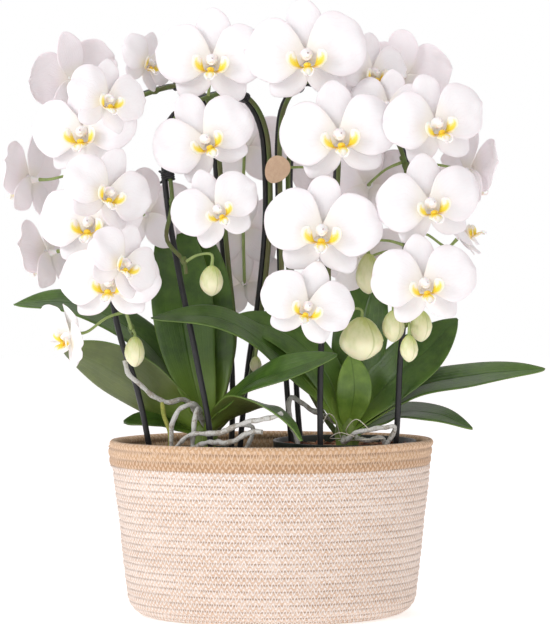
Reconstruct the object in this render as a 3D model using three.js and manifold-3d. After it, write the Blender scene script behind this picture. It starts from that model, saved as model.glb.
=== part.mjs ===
// Moth orchid in a basket: two white moth orchids in plastic pots, side by side in an oval rope basket.
// Millimetres, +Z up. The origin is the middle of the basket's underside, and the front faces -Y.

import * as THREE from 'three';
import { mergeVertices } from 'three/addons/utils/BufferGeometryUtils.js';
import Module from 'manifold-3d';

const wasm = await Module();
wasm.setup();

// Driving dimensions
const clearance = 0.3;

const basket = {
  halfWidth: 137.5,
  halfDepth: 95,
  baseHalfWidth: 121,
  baseHalfDepth: 82,
  height: 148,
  wall: 6,
  floor: 7,
  cornerRadius: 17,
  innerCorner: { height: 5, width: 4 },
  sides: 32,
  turn: THREE.MathUtils.degToRad(4),
};

const pot = {
  offset: 62,
  rimRadius: 60,
  baseRadius: 46,
  wall: 1.5,
  lip: 1.2,
  lipHeight: 7,
  top: { left: 138, right: 150 },
  sides: 20,
};

const bark = {
  belowRim: 9,
  looseness: 0.7,
  ringShares: [0.75, 0.4],
  lumpHeight: 1.8,
  lumpStep: 2.4,
  lumpTurn: 23,
};

const hoop = { radius: 2.5, sides: 6, stemOffset: 5.7 };
const stem = { radius: 2.2, sides: 5 };
const stalk = { radius: 1.4, sides: 3, rise: 8, longestApproach: 10, approachShare: 0.4, archShare: 0.3 };
const crown = {
  radius: 9, topShare: 0.8, height: 46, bottom: 122, sides: 8, middle: { left: [-57, -6], right: [64, -6] },
};
const root = { radius: 2, sides: 4 };
const clip = { length: 7, reach: 1.4, sides: 6 };
const tag = { length: 24, width: 20, thickness: 0.8, middle: [4, 4.6, 377] };
const leafForm = { halfThickness: 1.2, baseShare: 1.3, taper: 0.5, widest: 0.55, claw: 0.25 };

// A bud's outline: shares of its radius and of its half length, from the bottom up
const budOutline = [[0, -1], [0.5, -0.82], [0.96, -0.3], [0.92, 0.25], [0.5, 0.8], [0, 1]];
const budSides = 6;

// Bloom: a petal's or sepal's form is its length, the half widths of its upper and lower side, where it is
// widest, the narrow claw at its base as a share of that width, and how far it starts forward, arches and curls.
// Rows are where it is split.
const flower = {
  petal: { length: 45, upper: 26, lower: 23, widest: 0.47, claw: 0.12, forward: 1.5, arch: 3.5, curl: 4 },
  dorsal: { length: 44, upper: 14.5, lower: 14.5, widest: 0.6, claw: 0.15, forward: -1, arch: -2, curl: 1.5 },
  sepal: { length: 38, upper: 13.5, lower: 13.5, widest: 0.6, claw: 0.12, forward: -1, arch: -2, curl: 1.5 },
  petalRows: [0.18, 0.47, 0.84],
  sepalRows: [0.35, 0.8],
  petalLift: THREE.MathUtils.degToRad(13),
  sepalSpread: THREE.MathUtils.degToRad(41),
  thickness: 1.6,
  neck: 9,
  column: [[1.8, 9], [3.7, 2], [2, -9]],
  columnCorners: [51, 129, 200, 270, 340],
  sideLobe: { route: [[0, -3, -1], [7, -8, -5], [8.5, -14, 2]], halfWidth: 5, across: [0.2, -0.7, -0.6] },
  midLobe: { route: [[0, -4, -1], [0, -11, -8], [0, -14, -17]], halfWidth: 6, across: [1, 0, 0] },
  lobeWidest: 0.5,
  lobeClaw: 0.3,
  lobeMiddle: 0.55,
};

// Colours and finishes
const finish = {
  rope: { color: 0xe8d6c2, roughness: 0.9, metalness: 0 },
  pot: { color: 0x1f2a24, roughness: 0.45, metalness: 0 },
  bark: { color: 0x5a3626, roughness: 0.95, metalness: 0 },
  crown: { color: 0x6e8a45, roughness: 0.6, metalness: 0 },
  leaf: { color: 0x3f6e24, roughness: 0.35, metalness: 0 },
  stem: { color: 0x5d7a35, roughness: 0.5, metalness: 0 },
  hoop: { color: 0x17171a, roughness: 0.4, metalness: 0 },
  tag: { color: 0xdeb28a, roughness: 0.9, metalness: 0 },
  petal: { color: 0xfaf8fc, roughness: 0.55, metalness: 0 },
};

const object = new THREE.Group();

function material(name) {
  return new THREE.MeshStandardMaterial(finish[name]);
}

function vector(point) {
  return new THREE.Vector3(point[0], point[1], point[2]);
}

// Solids: geometry to manifold and back

function solid(geometry) {
  const bare = geometry.clone();
  bare.deleteAttribute('normal');
  bare.deleteAttribute('uv');
  const merged = mergeVertices(bare, 1e-4);
  return new wasm.Manifold(new wasm.Mesh({
    numProp: 3,
    vertProperties: new Float32Array(merged.attributes.position.array),
    triVerts: new Uint32Array(merged.index.array),
  }));
}

function geometryOf(manifold) {
  const mesh = manifold.getMesh();
  const geometry = new THREE.BufferGeometry();
  geometry.setAttribute('position', new THREE.BufferAttribute(new Float32Array(mesh.vertProperties), 3));
  geometry.setIndex(new THREE.BufferAttribute(new Uint32Array(mesh.triVerts), 1));
  geometry.computeVertexNormals();
  return geometry;
}

function joined(manifolds) {
  let whole = manifolds[0];
  for (const next of manifolds.slice(1)) {
    whole = whole.add(next);
  }
  return whole;
}

function largestBody(manifold) {
  const bodies = manifold.decompose();
  return bodies.reduce((best, body) => (body.volume() > best.volume() ? body : best));
}

function addMesh(name, geometry, finishName) {
  const mesh = new THREE.Mesh(geometry, material(finishName));
  mesh.name = name;
  object.add(mesh);
  return mesh;
}

// A closed body from rings of points between two end points
function ringsGeometry(first, rings, last) {
  const sides = rings[0].length;
  const positions = [...first];
  for (const ring of rings) {
    for (const point of ring) {
      positions.push(...point);
    }
  }
  positions.push(...last);
  const lastIndex = 1 + rings.length * sides;
  const index = [];
  for (let i = 0; i < sides; i += 1) {
    const next = (i + 1) % sides;
    index.push(0, 1 + next, 1 + i);
    const end = 1 + (rings.length - 1) * sides;
    index.push(lastIndex, end + i, end + next);
  }
  for (let r = 0; r < rings.length - 1; r += 1) {
    const low = 1 + r * sides;
    const high = low + sides;
    for (let i = 0; i < sides; i += 1) {
      const next = (i + 1) % sides;
      index.push(low + i, low + next, high + next, low + i, high + next, high + i);
    }
  }
  const geometry = new THREE.BufferGeometry();
  geometry.setAttribute('position', new THREE.Float32BufferAttribute(positions, 3));
  geometry.setIndex(index);
  return geometry;
}

function ovalRing(halfWidth, halfDepth, z, sides) {
  const ring = [];
  for (let i = 0; i < sides; i += 1) {
    const angle = (2 * Math.PI * i) / sides;
    ring.push([halfWidth * Math.cos(angle), halfDepth * Math.sin(angle), z]);
  }
  return ring;
}

// The direction of a line of points at each of them
function directions(points) {
  return points.map((point, i) => {
    const before = points[Math.max(0, i - 1)];
    const after = points[Math.min(points.length - 1, i + 1)];
    return after.clone().sub(before).normalize();
  });
}

// A round rod through a line of points, closed at both ends
const rodReference = new THREE.Vector3(0.31, 0.87, 0.38);

function rodSolid(points, radius, sides) {
  const along = directions(points);
  const normal = rodReference.clone().cross(along[0]).normalize();
  const rings = points.map((point, i) => {
    normal.addScaledVector(along[i], -normal.dot(along[i])).normalize();
    const side = new THREE.Vector3().crossVectors(along[i], normal);
    const ring = [];
    for (let k = 0; k < sides; k += 1) {
      const angle = (2 * Math.PI * k) / sides;
      const corner = point.clone()
        .addScaledVector(normal, radius * Math.cos(angle))
        .addScaledVector(side, radius * Math.sin(angle));
      ring.push(corner.toArray());
    }
    return ring;
  });
  return solid(ringsGeometry(points[0].toArray(), rings, points[points.length - 1].toArray()));
}

function curveThrough(points) {
  return new THREE.CatmullRomCurve3(points.map((point) => (Array.isArray(point) ? vector(point) : point)));
}

// A thin closed blade: a surface at(u, v) with v from -1 to 1 across it, thick in its middle, thin at its edge
// Both faces are split into the same triangles. u = 0 and u = 1 are single points.
function bladeSolid(at, halfThickness, rows) {
  const step = 1e-3;
  const positions = [];
  const push = (point) => positions.push(point.x, point.y, point.z) / 3 - 1;
  const base = push(at(0, 0));
  const lines = rows.map((u) => {
    const along = at(u + step, 0).sub(at(u - step, 0));
    const across = at(u, step).sub(at(u, -step));
    const normal = new THREE.Vector3().crossVectors(along, across).normalize();
    const middle = at(u, 0);
    const half = halfThickness(u);
    return {
      left: push(at(u, -1)),
      right: push(at(u, 1)),
      front: push(middle.clone().addScaledVector(normal, half)),
      back: push(middle.clone().addScaledVector(normal, -half)),
    };
  });
  const tip = push(at(1, 0));
  const index = [];
  const first = lines[0];
  const last = lines[lines.length - 1];
  index.push(base, first.front, first.left, base, first.right, first.front);
  index.push(base, first.left, first.back, base, first.back, first.right);
  for (let i = 0; i < lines.length - 1; i += 1) {
    const a = lines[i];
    const b = lines[i + 1];
    index.push(a.left, a.front, b.front, a.left, b.front, b.left);
    index.push(a.front, a.right, b.right, a.front, b.right, b.front);
    index.push(a.left, b.back, a.back, a.left, b.left, b.back);
    index.push(a.back, b.right, a.right, a.back, b.back, b.right);
  }
  index.push(tip, last.left, last.front, tip, last.front, last.right);
  index.push(tip, last.back, last.left, tip, last.right, last.back);
  const geometry = new THREE.BufferGeometry();
  geometry.setAttribute('position', new THREE.Float32BufferAttribute(positions, 3));
  geometry.setIndex(index);
  const body = solid(geometry);
  return body.volume() > 0 ? body : solid(flipped(geometry));
}

function flipped(geometry) {
  const index = geometry.index.array;
  for (let i = 0; i < index.length; i += 3) {
    const swap = index[i];
    index[i] = index[i + 1];
    index[i + 1] = swap;
  }
  return geometry;
}

// Width of a petal or leaf along its length: a narrow claw, the widest place at `widest`, a round tip
function bladeWidth(u, widest, claw) {
  if (u < widest) {
    return claw + (1 - claw) * Math.sin((Math.PI / 2) * (u / widest));
  }
  const t = (u - widest) / (1 - widest);
  return Math.sqrt(Math.max(0, 1 - t * t));
}

// Basket: one oval coiled wall and floor

function basketSolid() {
  const { height, wall, floor, cornerRadius, innerCorner, sides } = basket;
  const widthAt = (z) => basket.baseHalfWidth + (basket.halfWidth - basket.baseHalfWidth) * (z / height);
  const depthAt = (z) => basket.baseHalfDepth + (basket.halfDepth - basket.baseHalfDepth) * (z / height);
  const ring = (z, inset) => ovalRing(widthAt(z) - inset, depthAt(z) - inset, z, sides);
  const rings = [];
  for (const degrees of [0, 30, 60, 90]) {
    const angle = THREE.MathUtils.degToRad(degrees);
    const z = cornerRadius * (1 - Math.cos(angle));
    rings.push(ring(z, cornerRadius * (1 - Math.sin(angle))));
  }
  rings.push(ring(height - wall / 2, 0));
  rings.push(ring(height, wall * 0.25));
  rings.push(ring(height, wall * 0.75));
  rings.push(ring(height - wall / 2, wall));
  rings.push(ring(floor + innerCorner.height, wall));
  rings.push(ring(floor, wall + innerCorner.width));
  return solid(ringsGeometry([0, 0, 0], rings, [0, 0, floor]));
}

const basketMesh = addMesh('basket', geometryOf(basketSolid()), 'rope');
basketMesh.rotation.z = basket.turn;

// Pots: thin tapered tubs on the basket's floor

const potBottom = basket.floor + clearance;

function potRadiusAt(z, side) {
  const share = (z - potBottom) / (pot.top[side] - potBottom);
  return pot.baseRadius + (pot.rimRadius - pot.baseRadius) * share;
}

function potGeometry(side) {
  const top = pot.top[side];
  const lipBottom = top - pot.lipHeight;
  const outer = (z) => potRadiusAt(z, side);
  const inner = (z) => outer(z) - pot.wall;
  const points = [
    [0, potBottom],
    [outer(potBottom), potBottom],
    [outer(lipBottom), lipBottom],
    [outer(lipBottom) + pot.lip, lipBottom],
    [outer(top) + pot.lip, top],
    [inner(top), top],
    [inner(potBottom + pot.wall), potBottom + pot.wall],
    [0, potBottom + pot.wall],
  ];
  const geometry = new THREE.LatheGeometry(points.map(([r, z]) => new THREE.Vector2(r, z)), pot.sides);
  return geometry.rotateX(Math.PI / 2);
}

function potCentre(side) {
  const reach = side * pot.offset;
  return new THREE.Vector3(reach * Math.cos(basket.turn), reach * Math.sin(basket.turn), 0);
}

// Bark: a lumpy fill up to just under the pot's rim
function barkSolid(centre, side) {
  const rings = [];
  const low = potBottom + pot.wall + clearance;
  const top = pot.top[side] - bark.belowRim;
  const radiusAt = (z) => potRadiusAt(z, side) - pot.wall - bark.looseness;
  const topRadius = radiusAt(top);
  rings.push(ovalRing(radiusAt(low), radiusAt(low), low, pot.sides));
  rings.push(ovalRing(topRadius, topRadius, top, pot.sides));
  for (const share of bark.ringShares) {
    const ring = ovalRing(topRadius * share, topRadius * share, top, pot.sides);
    const lump = (i) => bark.lumpHeight * Math.sin(i * bark.lumpStep + share * bark.lumpTurn);
    rings.push(ring.map(([x, y, z], i) => [x, y, z + lump(i)]));
  }
  const body = solid(ringsGeometry([0, 0, low], rings, [0, 0, top]));
  return body.translate([centre.x, centre.y, 0]);
}

// Hoops: bent rods, front foot first, over the top and down the back leg.
// Each list is the route's points as x, y, z.
const hoopRoutes = {
  left: [
    [-94, -24, 75], [-102, -30, 140], [-112, -38, 192], [-127, -46, 242], [-136, -50, 300], [-139, -48, 357],
    [-136, -42, 399], [-124, -32, 429], [-102, -20, 441], [-79, -9, 447], [-64, 0, 443], [-55, 8, 428],
    [-50, 13, 400], [-46, 17, 350], [-41, 20, 295], [-36, 22, 232], [-34, 22, 180], [-38, 18, 75],
  ],
  centreLeft: [
    [-54, -38, 75], [-51, -46, 150], [-62, -51, 217], [-77, -53, 291], [-86, -53, 345], [-89, -49, 385],
    [-85, -41, 415], [-66, -27, 432], [-46, -13, 440], [-30, 0, 441], [-17, 10, 430], [-9, 14, 410],
    [-6, 17, 375], [-6, 21, 330], [-12, 27, 266], [-20, 30, 214], [-26, 30, 160], [-32, 26, 75],
  ],
  centreRight: [
    [44, -38, 75], [40, -46, 150], [41, -52, 238], [45, -55, 291], [51, -55, 345], [53, -50, 390],
    [49, -41, 422], [38, -30, 444], [27, -19, 448], [16, -8, 442], [8, 4, 428], [5, 11, 405],
    [5, 15, 370], [6, 18, 320], [8, 20, 266], [12, 20, 200], [16, 20, 150], [24, 18, 75],
  ],
  right: [
    [96, -20, 75], [104, -26, 150], [107, -36, 221], [111, -43, 270], [112, -46, 325], [112, -45, 375],
    [105, -39, 398], [92, -29, 414], [74, -16, 424], [54, -3, 429], [35, 9, 426], [22, 19, 412],
    [16, 25, 385], [16, 28, 340], [17, 30, 275], [20, 30, 210], [24, 29, 150], [34, 25, 75],
  ],
};

// The hoops that stand in each pot
const hoopsOf = { left: ['left', 'centreLeft'], right: ['centreRight', 'right'] };

// Stations of each hoop's route where a clip holds its stem
const clipStations = {
  left: [9],
  centreLeft: [4.6, 9.2],
  centreRight: [8.4],
  right: [10],
};

// Stems: each leaves a crown, runs beside its hoop between two stations of the route, on the side that
// `lean` points to, and ends free
const stemRoutes = {
  left: {
    start: [[-50.5, 2.7, 157], [-46, 8, 168], [-38, 12, 200]], from: 15, to: 4, lean: [0.62, -0.78, 0],
    end: [[-122, -56, 262], [-116, -60, 246], [-114, -62, 238]],
  },
  centreLeft: {
    start: [[-46.8, -3, 156], [-36, 3, 168], [-20, 14, 196]], from: 15, to: 4, lean: [0.7, -0.7, 0],
    end: [[-86, -62, 316], [-72, -64, 298], [-70, -64, 288]],
  },
  centreRight: {
    start: [[55.4, 0.4, 152], [44, 6, 168], [20, 10, 216]], from: 14, to: 3, lean: [0.3, -0.95, 0],
    end: [[48, -64, 272], [56, -68, 256]],
  },
  right: {
    start: [[63, 4.6, 156], [56, 12, 176], [24, 24, 226]], from: 14, to: 3, lean: [-0.3, -0.95, 0],
    end: [[108, -56, 258], [109, -60, 246]],
  },
};

// Blooms of each stem: x, y, z of the flower's middle, then yaw, pitch and roll in degrees, then size.
// Yaw 0 faces the front and 90 the right. A pitch above 0 looks down. A roll above 0 leans right.
// A last value, where there is one, is how far above the flower its stalk leaves the stem.
const blooms = {
  left: [
    [-166, -22, 452, 215, -10, 20, 0.95],
    [-104, -39, 463, 50, 0, 20, 0.66],
    [-131, -114, 426, 33, 0, 8, 0.78, 18],
    [-152, -84, 402, -12, 0, -3, 0.98, -8],
    [-130, -122, 352, 30, 0, 18, 0.86],
    [-200, -42, 366, -115, 0, -10, 0.95],
    [-146, -92, 329, -10, 0, -3, 0.98, -16],
    [-117, -135, 296, 40, 0, 26, 0.78],
    [-184, -50, 305, -118, 10, 0, 0.95],
    [-106, -20, 338, 170, 0, 0, 0.95],
    [-129, -106, 281, -6, 0, 0, 0.93, -34],
    [-163, -78, 238, -50, 10, 25, 0.72],
  ],
  centreLeft: [
    [-49, -62, 462, -2, 0, 2, 1.04],
    [-54, -84, 396, 6, 0, -26, 0.96],
    [-44, -100, 339, 10, 0, -26, 0.82],
  ],
  centreRight: [
    [28, -70, 465, 0, 0, -4, 1.12],
    [54, -88, 399, 2, 0, -8, 1.08],
    [40, -102, 322, -2, 0, 2, 1.08],
    [28, -112, 262, 4, 0, 16, 0.86],
    [57, 42, 374, 180, 0, 0, 0.9],
  ],
  right: [
    [82, -46, 454, 30, 0, 0, 0.8],
    [112, 2, 457, 160, -10, -2, 0.95],
    [95, -62, 425, -10, 0, 10, 0.74],
    [132, -82, 409, 16, 0, -14, 0.98],
    [163, -38, 373, 120, 10, 0, 0.95],
    [126, -95, 344, 12, 0, -10, 0.99],
    [81, -34, 362, 176, 0, 0, 0.95],
    [78, -30, 300, 174, 0, 0, 0.9],
    [158, -44, 321, 75, -40, 0, 0.72],
    [121, -106, 280, 6, 0, -8, 0.96],
  ],
};

// The spray behind the middle: its blooms, and the line of their own short stem
const backSpray = {
  blooms: [
    [-24, 44, 398, 178, 0, 0, 1.0],
    [-26, 45, 327, 184, 0, 0, 1.0],
    [-24, 48, 280, 176, 0, 10, 0.8],
  ],
  line: [[-24, 36, 400], [-25, 37, 360], [-25, 38, 320], [-24, 42, 278]],
};

// Buds of each stem: x, y, z of the bud's middle, its half length and its radius
const buds = {
  left: [[-112, -66, 225, 12, 8.2]],
  centreLeft: [[-49, -72, 283, 12, 9.5], [-14, 17, 211, 7, 5]],
  centreRight: [[73, -72, 236, 17, 16]],
  right: [
    [99, -72, 246, 12.5, 9], [122, -62, 246, 12.5, 9], [111, -82, 228, 10.5, 7.2], [79, -62, 289, 16, 9.5],
  ],
};

// Bloom: five blades, a two-lobed lip and a column around a short neck

function petalBlade(form, angle, rows) {
  const { length, upper, lower, widest, claw, forward, arch, curl } = form;
  const along = new THREE.Vector3(Math.cos(angle), 0, Math.sin(angle));
  const across = new THREE.Vector3(-Math.sin(angle), 0, Math.cos(angle));
  const at = (u, v) => new THREE.Vector3()
    .addScaledVector(along, length * u)
    .addScaledVector(across, (across.z * v > 0 ? upper : lower) * bladeWidth(u, widest, claw) * v)
    .add(new THREE.Vector3(0, -forward - arch * Math.sin(Math.PI * u) + curl * v * v * u, 0));
  return bladeSolid(at, () => flower.thickness / 2, rows);
}

function lipBlade({ route, halfWidth, across }, mirror) {
  const mirrored = ([x, y, z]) => [mirror * x, y, z];
  const curve = curveThrough(route.map(mirrored));
  const side = vector(mirrored(across)).normalize();
  const at = (u, v) => curve.getPoint(THREE.MathUtils.clamp(u, 0, 1))
    .addScaledVector(side, halfWidth * bladeWidth(u, flower.lobeWidest, flower.lobeClaw) * v);
  return bladeSolid(at, () => flower.thickness / 2, [flower.lobeMiddle]);
}

function bloomSolid() {
  const corners = flower.columnCorners.map(THREE.MathUtils.degToRad);
  const rings = flower.column.map(([radius, y]) => corners.map((angle) => (
    [radius * Math.cos(angle), y, radius * Math.sin(angle)]
  )));
  const columnEnd = flower.column[flower.column.length - 1][1];
  const pieces = [solid(ringsGeometry([0, flower.neck, 0], rings, [0, columnEnd, 0]))];
  for (const side of [1, -1]) {
    const petalAngle = side > 0 ? flower.petalLift : Math.PI - flower.petalLift;
    const sepalAngle = -Math.PI / 2 + side * flower.sepalSpread;
    pieces.push(petalBlade(flower.petal, petalAngle, flower.petalRows));
    pieces.push(petalBlade(flower.sepal, sepalAngle, flower.sepalRows));
    pieces.push(lipBlade(flower.sideLobe, side));
  }
  pieces.push(petalBlade(flower.dorsal, Math.PI / 2, flower.sepalRows));
  pieces.push(lipBlade(flower.midLobe, 1));
  return joined(pieces);
}

const bloomGeometry = geometryOf(bloomSolid());

function placeBloom(mesh, [x, y, z, yaw, pitch, roll, size]) {
  const turn = [pitch, roll, yaw].map(THREE.MathUtils.degToRad);
  mesh.position.set(x, y, z);
  mesh.rotation.set(turn[0], turn[1], turn[2], 'ZXY');
  mesh.scale.setScalar(size);
  mesh.updateMatrixWorld(true);
  return mesh;
}

// The point behind a bloom where its stalk ends, and the direction that it comes from
function bloomBack(placement) {
  const marker = placeBloom(new THREE.Object3D(), placement);
  const end = new THREE.Vector3(0, flower.neck, 0).applyMatrix4(marker.matrixWorld);
  const back = new THREE.Vector3(0, 1, 0).transformDirection(marker.matrixWorld);
  return { end: end.addScaledVector(back, clearance), back };
}

for (const [spray, list] of Object.entries(blooms)) {
  list.forEach((placement, i) => {
    placeBloom(addMesh(`bloom_${spray}_${i + 1}`, bloomGeometry.clone(), 'petal'), placement);
  });
}

const backPieces = backSpray.blooms.map((placement) => {
  const marker = placeBloom(new THREE.Object3D(), placement);
  return solid(bloomGeometry.clone().applyMatrix4(marker.matrixWorld));
});
backPieces.push(rodSolid(backSpray.line.map(vector), stalk.radius, stalk.sides));
addMesh('bloom_spray_back', geometryOf(joined(backPieces)), 'petal');

// Hoops with their clips, and the stems with stalks and buds beside them

function stemLine(side) {
  const points = hoopRoutes[side].map(vector);
  const along = directions(points);
  const { start, from, to, lean, end } = stemRoutes[side];
  const beside = [];
  for (let i = from; i >= to; i -= 1) {
    const offset = vector(lean).addScaledVector(along[i], -vector(lean).dot(along[i])).normalize();
    beside.push(points[i].clone().addScaledVector(offset, hoop.stemOffset));
  }
  return [...start.map(vector), ...beside, ...end.map(vector)];
}

function nearestOnLine(line, target) {
  let best = line[0];
  for (let i = 0; i < line.length - 1; i += 1) {
    const piece = new THREE.Line3(line[i], line[i + 1]);
    const point = piece.closestPointToPoint(target, true, new THREE.Vector3());
    if (point.distanceTo(target) < best.distanceTo(target)) {
      best = point;
    }
  }
  return best;
}

// A stalk from a stem to the back of a bloom or the top of a bud
function stalkSolid(line, end, back, rise, grow) {
  const start = nearestOnLine(line, end.clone().add(new THREE.Vector3(0, 0, rise)));
  const reach = Math.min(stalk.longestApproach, start.distanceTo(end) * stalk.approachShare);
  const approach = end.clone().addScaledVector(back, reach);
  const arch = new THREE.Vector3(0, 0, reach * stalk.archShare);
  const middle = start.clone().lerp(approach, 0.5).add(arch);
  return rodSolid([start, middle, approach, end], stalk.radius + grow, stalk.sides);
}

function budSolid([x, y, z, halfLength, radius]) {
  const points = budOutline.map(([r, h]) => new THREE.Vector2(r * radius, h * halfLength));
  const geometry = new THREE.LatheGeometry(points, budSides).rotateX(Math.PI / 2);
  return solid(geometry.translate(x, y, z));
}

function bloomStalks(side, grow) {
  const line = stemLine(side);
  const placements = [...blooms[side]];
  if (side === 'left') {
    placements.push(backSpray.blooms[0]);
  }
  return placements.map((placement) => {
    const { end, back } = bloomBack(placement);
    return stalkSolid(line, end, back, placement[7] ?? stalk.rise, grow);
  });
}

function stemSolid(side) {
  const line = stemLine(side);
  const pieces = [rodSolid(line, stem.radius, stem.sides), ...bloomStalks(side, 0)];
  for (const bud of buds[side]) {
    const top = new THREE.Vector3(bud[0], bud[1], bud[2] + bud[3] * 0.8);
    pieces.push(stalkSolid(line, top, new THREE.Vector3(0, 0, 1), stalk.rise, 0));
    pieces.push(budSolid(bud));
  }
  return joined(pieces);
}

// Blooms crowd one another, so a petal has a notch where a neighbour's stalk runs past it
function notchPetals(side) {
  const stalks = bloomStalks(side, clearance);
  for (const mesh of object.children.filter(({ name }) => name.startsWith(`bloom_${side}_`))) {
    const body = solid(mesh.geometry.clone().applyMatrix4(mesh.matrixWorld));
    const passing = stalks.filter((rod) => body.intersect(rod).volume() > 0);
    if (passing.length > 0) {
      const cut = largestBody(body.subtract(joined(passing)));
      mesh.geometry = geometryOf(cut.transform(mesh.matrixWorld.clone().invert().elements));
    }
  }
}

function hoopSolid(side) {
  const points = hoopRoutes[side].map(vector);
  const along = directions(points);
  const stemPoints = stemLine(side);
  const clips = clipStations[side].map((station) => {
    const low = Math.floor(station);
    const point = points[low].clone().lerp(points[low + 1], station - low);
    const beside = nearestOnLine(stemPoints, point);
    const radius = point.distanceTo(beside) / 2 + stem.radius + clip.reach;
    const barrel = new THREE.CylinderGeometry(radius, radius, clip.length, clip.sides);
    const turn = new THREE.Quaternion().setFromUnitVectors(new THREE.Vector3(0, 1, 0), along[low]);
    const middle = point.lerp(beside, 0.5);
    return solid(barrel.applyQuaternion(turn).translate(middle.x, middle.y, middle.z));
  });
  const passage = rodSolid(stemPoints, stem.radius + clearance, stem.sides);
  const cut = clips.map((barrel) => barrel.subtract(passage));
  return largestBody(joined([rodSolid(points, hoop.radius, hoop.sides), ...cut]));
}

for (const side of Object.keys(hoopRoutes)) {
  notchPetals(side);
  addMesh(`stem_${side}`, geometryOf(stemSolid(side)), 'stem');
  addMesh(`hoop_${side}`, geometryOf(hoopSolid(side)), 'hoop');
}

// Leaves of the two plants, lowest first: route from the crown to the tip, half width at the widest place,
// the way that the upper face looks, and how far the two halves fold up
const leaves = {
  left: [
    { route: [[-60, -10, 154], [-108, -12, 190], [-144, -20, 212], [-177, -26, 229]], half: 29,
      face: [0.35, 0.8, 0.5], fold: 0.2 },
    { route: [[-57, -8, 158], [-110, 0, 232], [-170, -10, 262], [-217, -20, 262]], half: 22,
      face: [0.3, -0.6, 0.9], fold: 0.25 },
    { route: [[-54, -14, 154], [-24, -52, 181], [-4, -80, 181], [14, -94, 168], [24, -99, 154]], half: 20,
      face: [0.2, 0.1, 1], fold: 0.15 },
    { route: [[-54, -10, 158], [-26, -44, 190], [7, -72, 208], [53, -82, 222]], half: 19,
      face: [-0.2, -0.7, 1], fold: 0.25 },
    { route: [[-56, -4, 160], [-68, -10, 206], [-76, -16, 258], [-80, -14, 300], [-87, -6, 346]], half: 27,
      face: [0.3, -1, 0.1], fold: 0.25 },
    { route: [[-53, -2, 162], [-52, 2, 205], [-56, 2, 257], [-60, 4, 301], [-66, 10, 334]], half: 24,
      face: [-0.1, -1, 0.1], fold: 0.2 },
  ],
  right: [
    { route: [[64, -10, 148], [104, -4, 170], [138, -22, 169], [167, -38, 160]], half: 17,
      face: [0, -0.4, 1], fold: 0.2 },
    { route: [[66, -6, 152], [118, -12, 190], [171, -18, 202], [229, -24, 208]], half: 17,
      face: [-0.1, -0.7, 1], fold: 0.25 },
    { route: [[62, -10, 152], [34, -24, 192], [-2, -38, 227], [-47, -69, 252], [-98, -78, 252]], half: 18,
      face: [0.2, -0.8, 1], fold: 0.25 },
    { route: [[66, -4, 156], [95, -8, 192], [129, -10, 222], [157, -8, 250]], half: 25,
      face: [-0.4, -0.9, 0.5], fold: 0.25 },
    { route: [[62, -6, 156], [46, -16, 203], [20, -24, 232], [-14, -28, 247], [-38, -28, 250]], half: 19,
      face: [0.1, -0.9, 0.7], fold: 0.2 },
    { route: [[66, 0, 160], [74, 8, 223], [81, 14, 262], [94, 18, 292]], half: 24,
      face: [-0.2, -1, 0.1], fold: 0.2 },
  ],
};

// One small leaf of each plant, grown into its crown
const smallLeaves = {
  left: {
    route: [[-60, -6, 150], [-93, -6, 165], [-125, -14, 163]], half: 15, face: [0, -0.5, 1], fold: 0.2,
  },
  right: {
    route: [[64, -8, 158], [69, -22, 193], [66, -22, 221]], half: 15, face: [0, -1, 0.2], fold: 0.3,
  },
};

const leafRows = [0.08, 0.25, 0.45, 0.65, 0.83, 0.96];

function leafSolid({ route, half, face, fold }, grow) {
  const curve = curveThrough(route);
  const upper = vector(face);
  const at = (u, v) => {
    const share = THREE.MathUtils.clamp(u, 0, 1);
    const along = curve.getTangentAt(share);
    const side = new THREE.Vector3().crossVectors(along, upper).normalize();
    const normal = new THREE.Vector3().crossVectors(side, along).normalize();
    const width = (half + grow) * bladeWidth(share, leafForm.widest, leafForm.claw) * v;
    const raised = fold * Math.abs(width);
    return curve.getPointAt(share).addScaledVector(side, width).addScaledVector(normal, raised);
  };
  const thickness = (u) => leafForm.halfThickness * (leafForm.baseShare - leafForm.taper * u) + grow;
  return bladeSolid(at, thickness, leafRows);
}

// Crowns: the short upright stem of each plant, with its small leaf and the grey roots that lie on the bark
const crownRoots = {
  left: [
    [[-60, -8, 162], [-72, -30, 183], [-84, -38, 182], [-94, -42, 184], [-109, -52, 197], [-118, -56, 206],
      [-121, -58, 217]],
    [[-58, -8, 160], [-62, -34, 178], [-70, -48, 180], [-80, -50, 172], [-84, -42, 133]],
    [[-57, -8, 158], [-62, -44, 176], [-64, -52, 168], [-66, -46, 133]],
    [[-56, -8, 152], [-40, -46, 158], [-26, -52, 164], [-16, -50, 161], [-26, -36, 133]],
  ],
  right: [
    [[62, -8, 152], [60, -36, 148], [70, -48, 157], [86, -48, 160], [102, -43, 161], [95, -37, 145]],
    [[66, -8, 152], [80, -30, 149], [90, -38, 152], [96, -30, 145]],
    [[60, -8, 160], [30, -18, 176], [16, -22, 184], [14, -22, 172], [22, -20, 145]],
  ],
};

function crownBody(side, grow) {
  const [x, y] = crown.middle[side];
  const topRadius = crown.radius * crown.topShare + grow;
  const body = new THREE.CylinderGeometry(topRadius, crown.radius + grow, crown.height, crown.sides);
  return solid(body.rotateX(Math.PI / 2).translate(x, y, crown.bottom + crown.height / 2));
}

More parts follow.
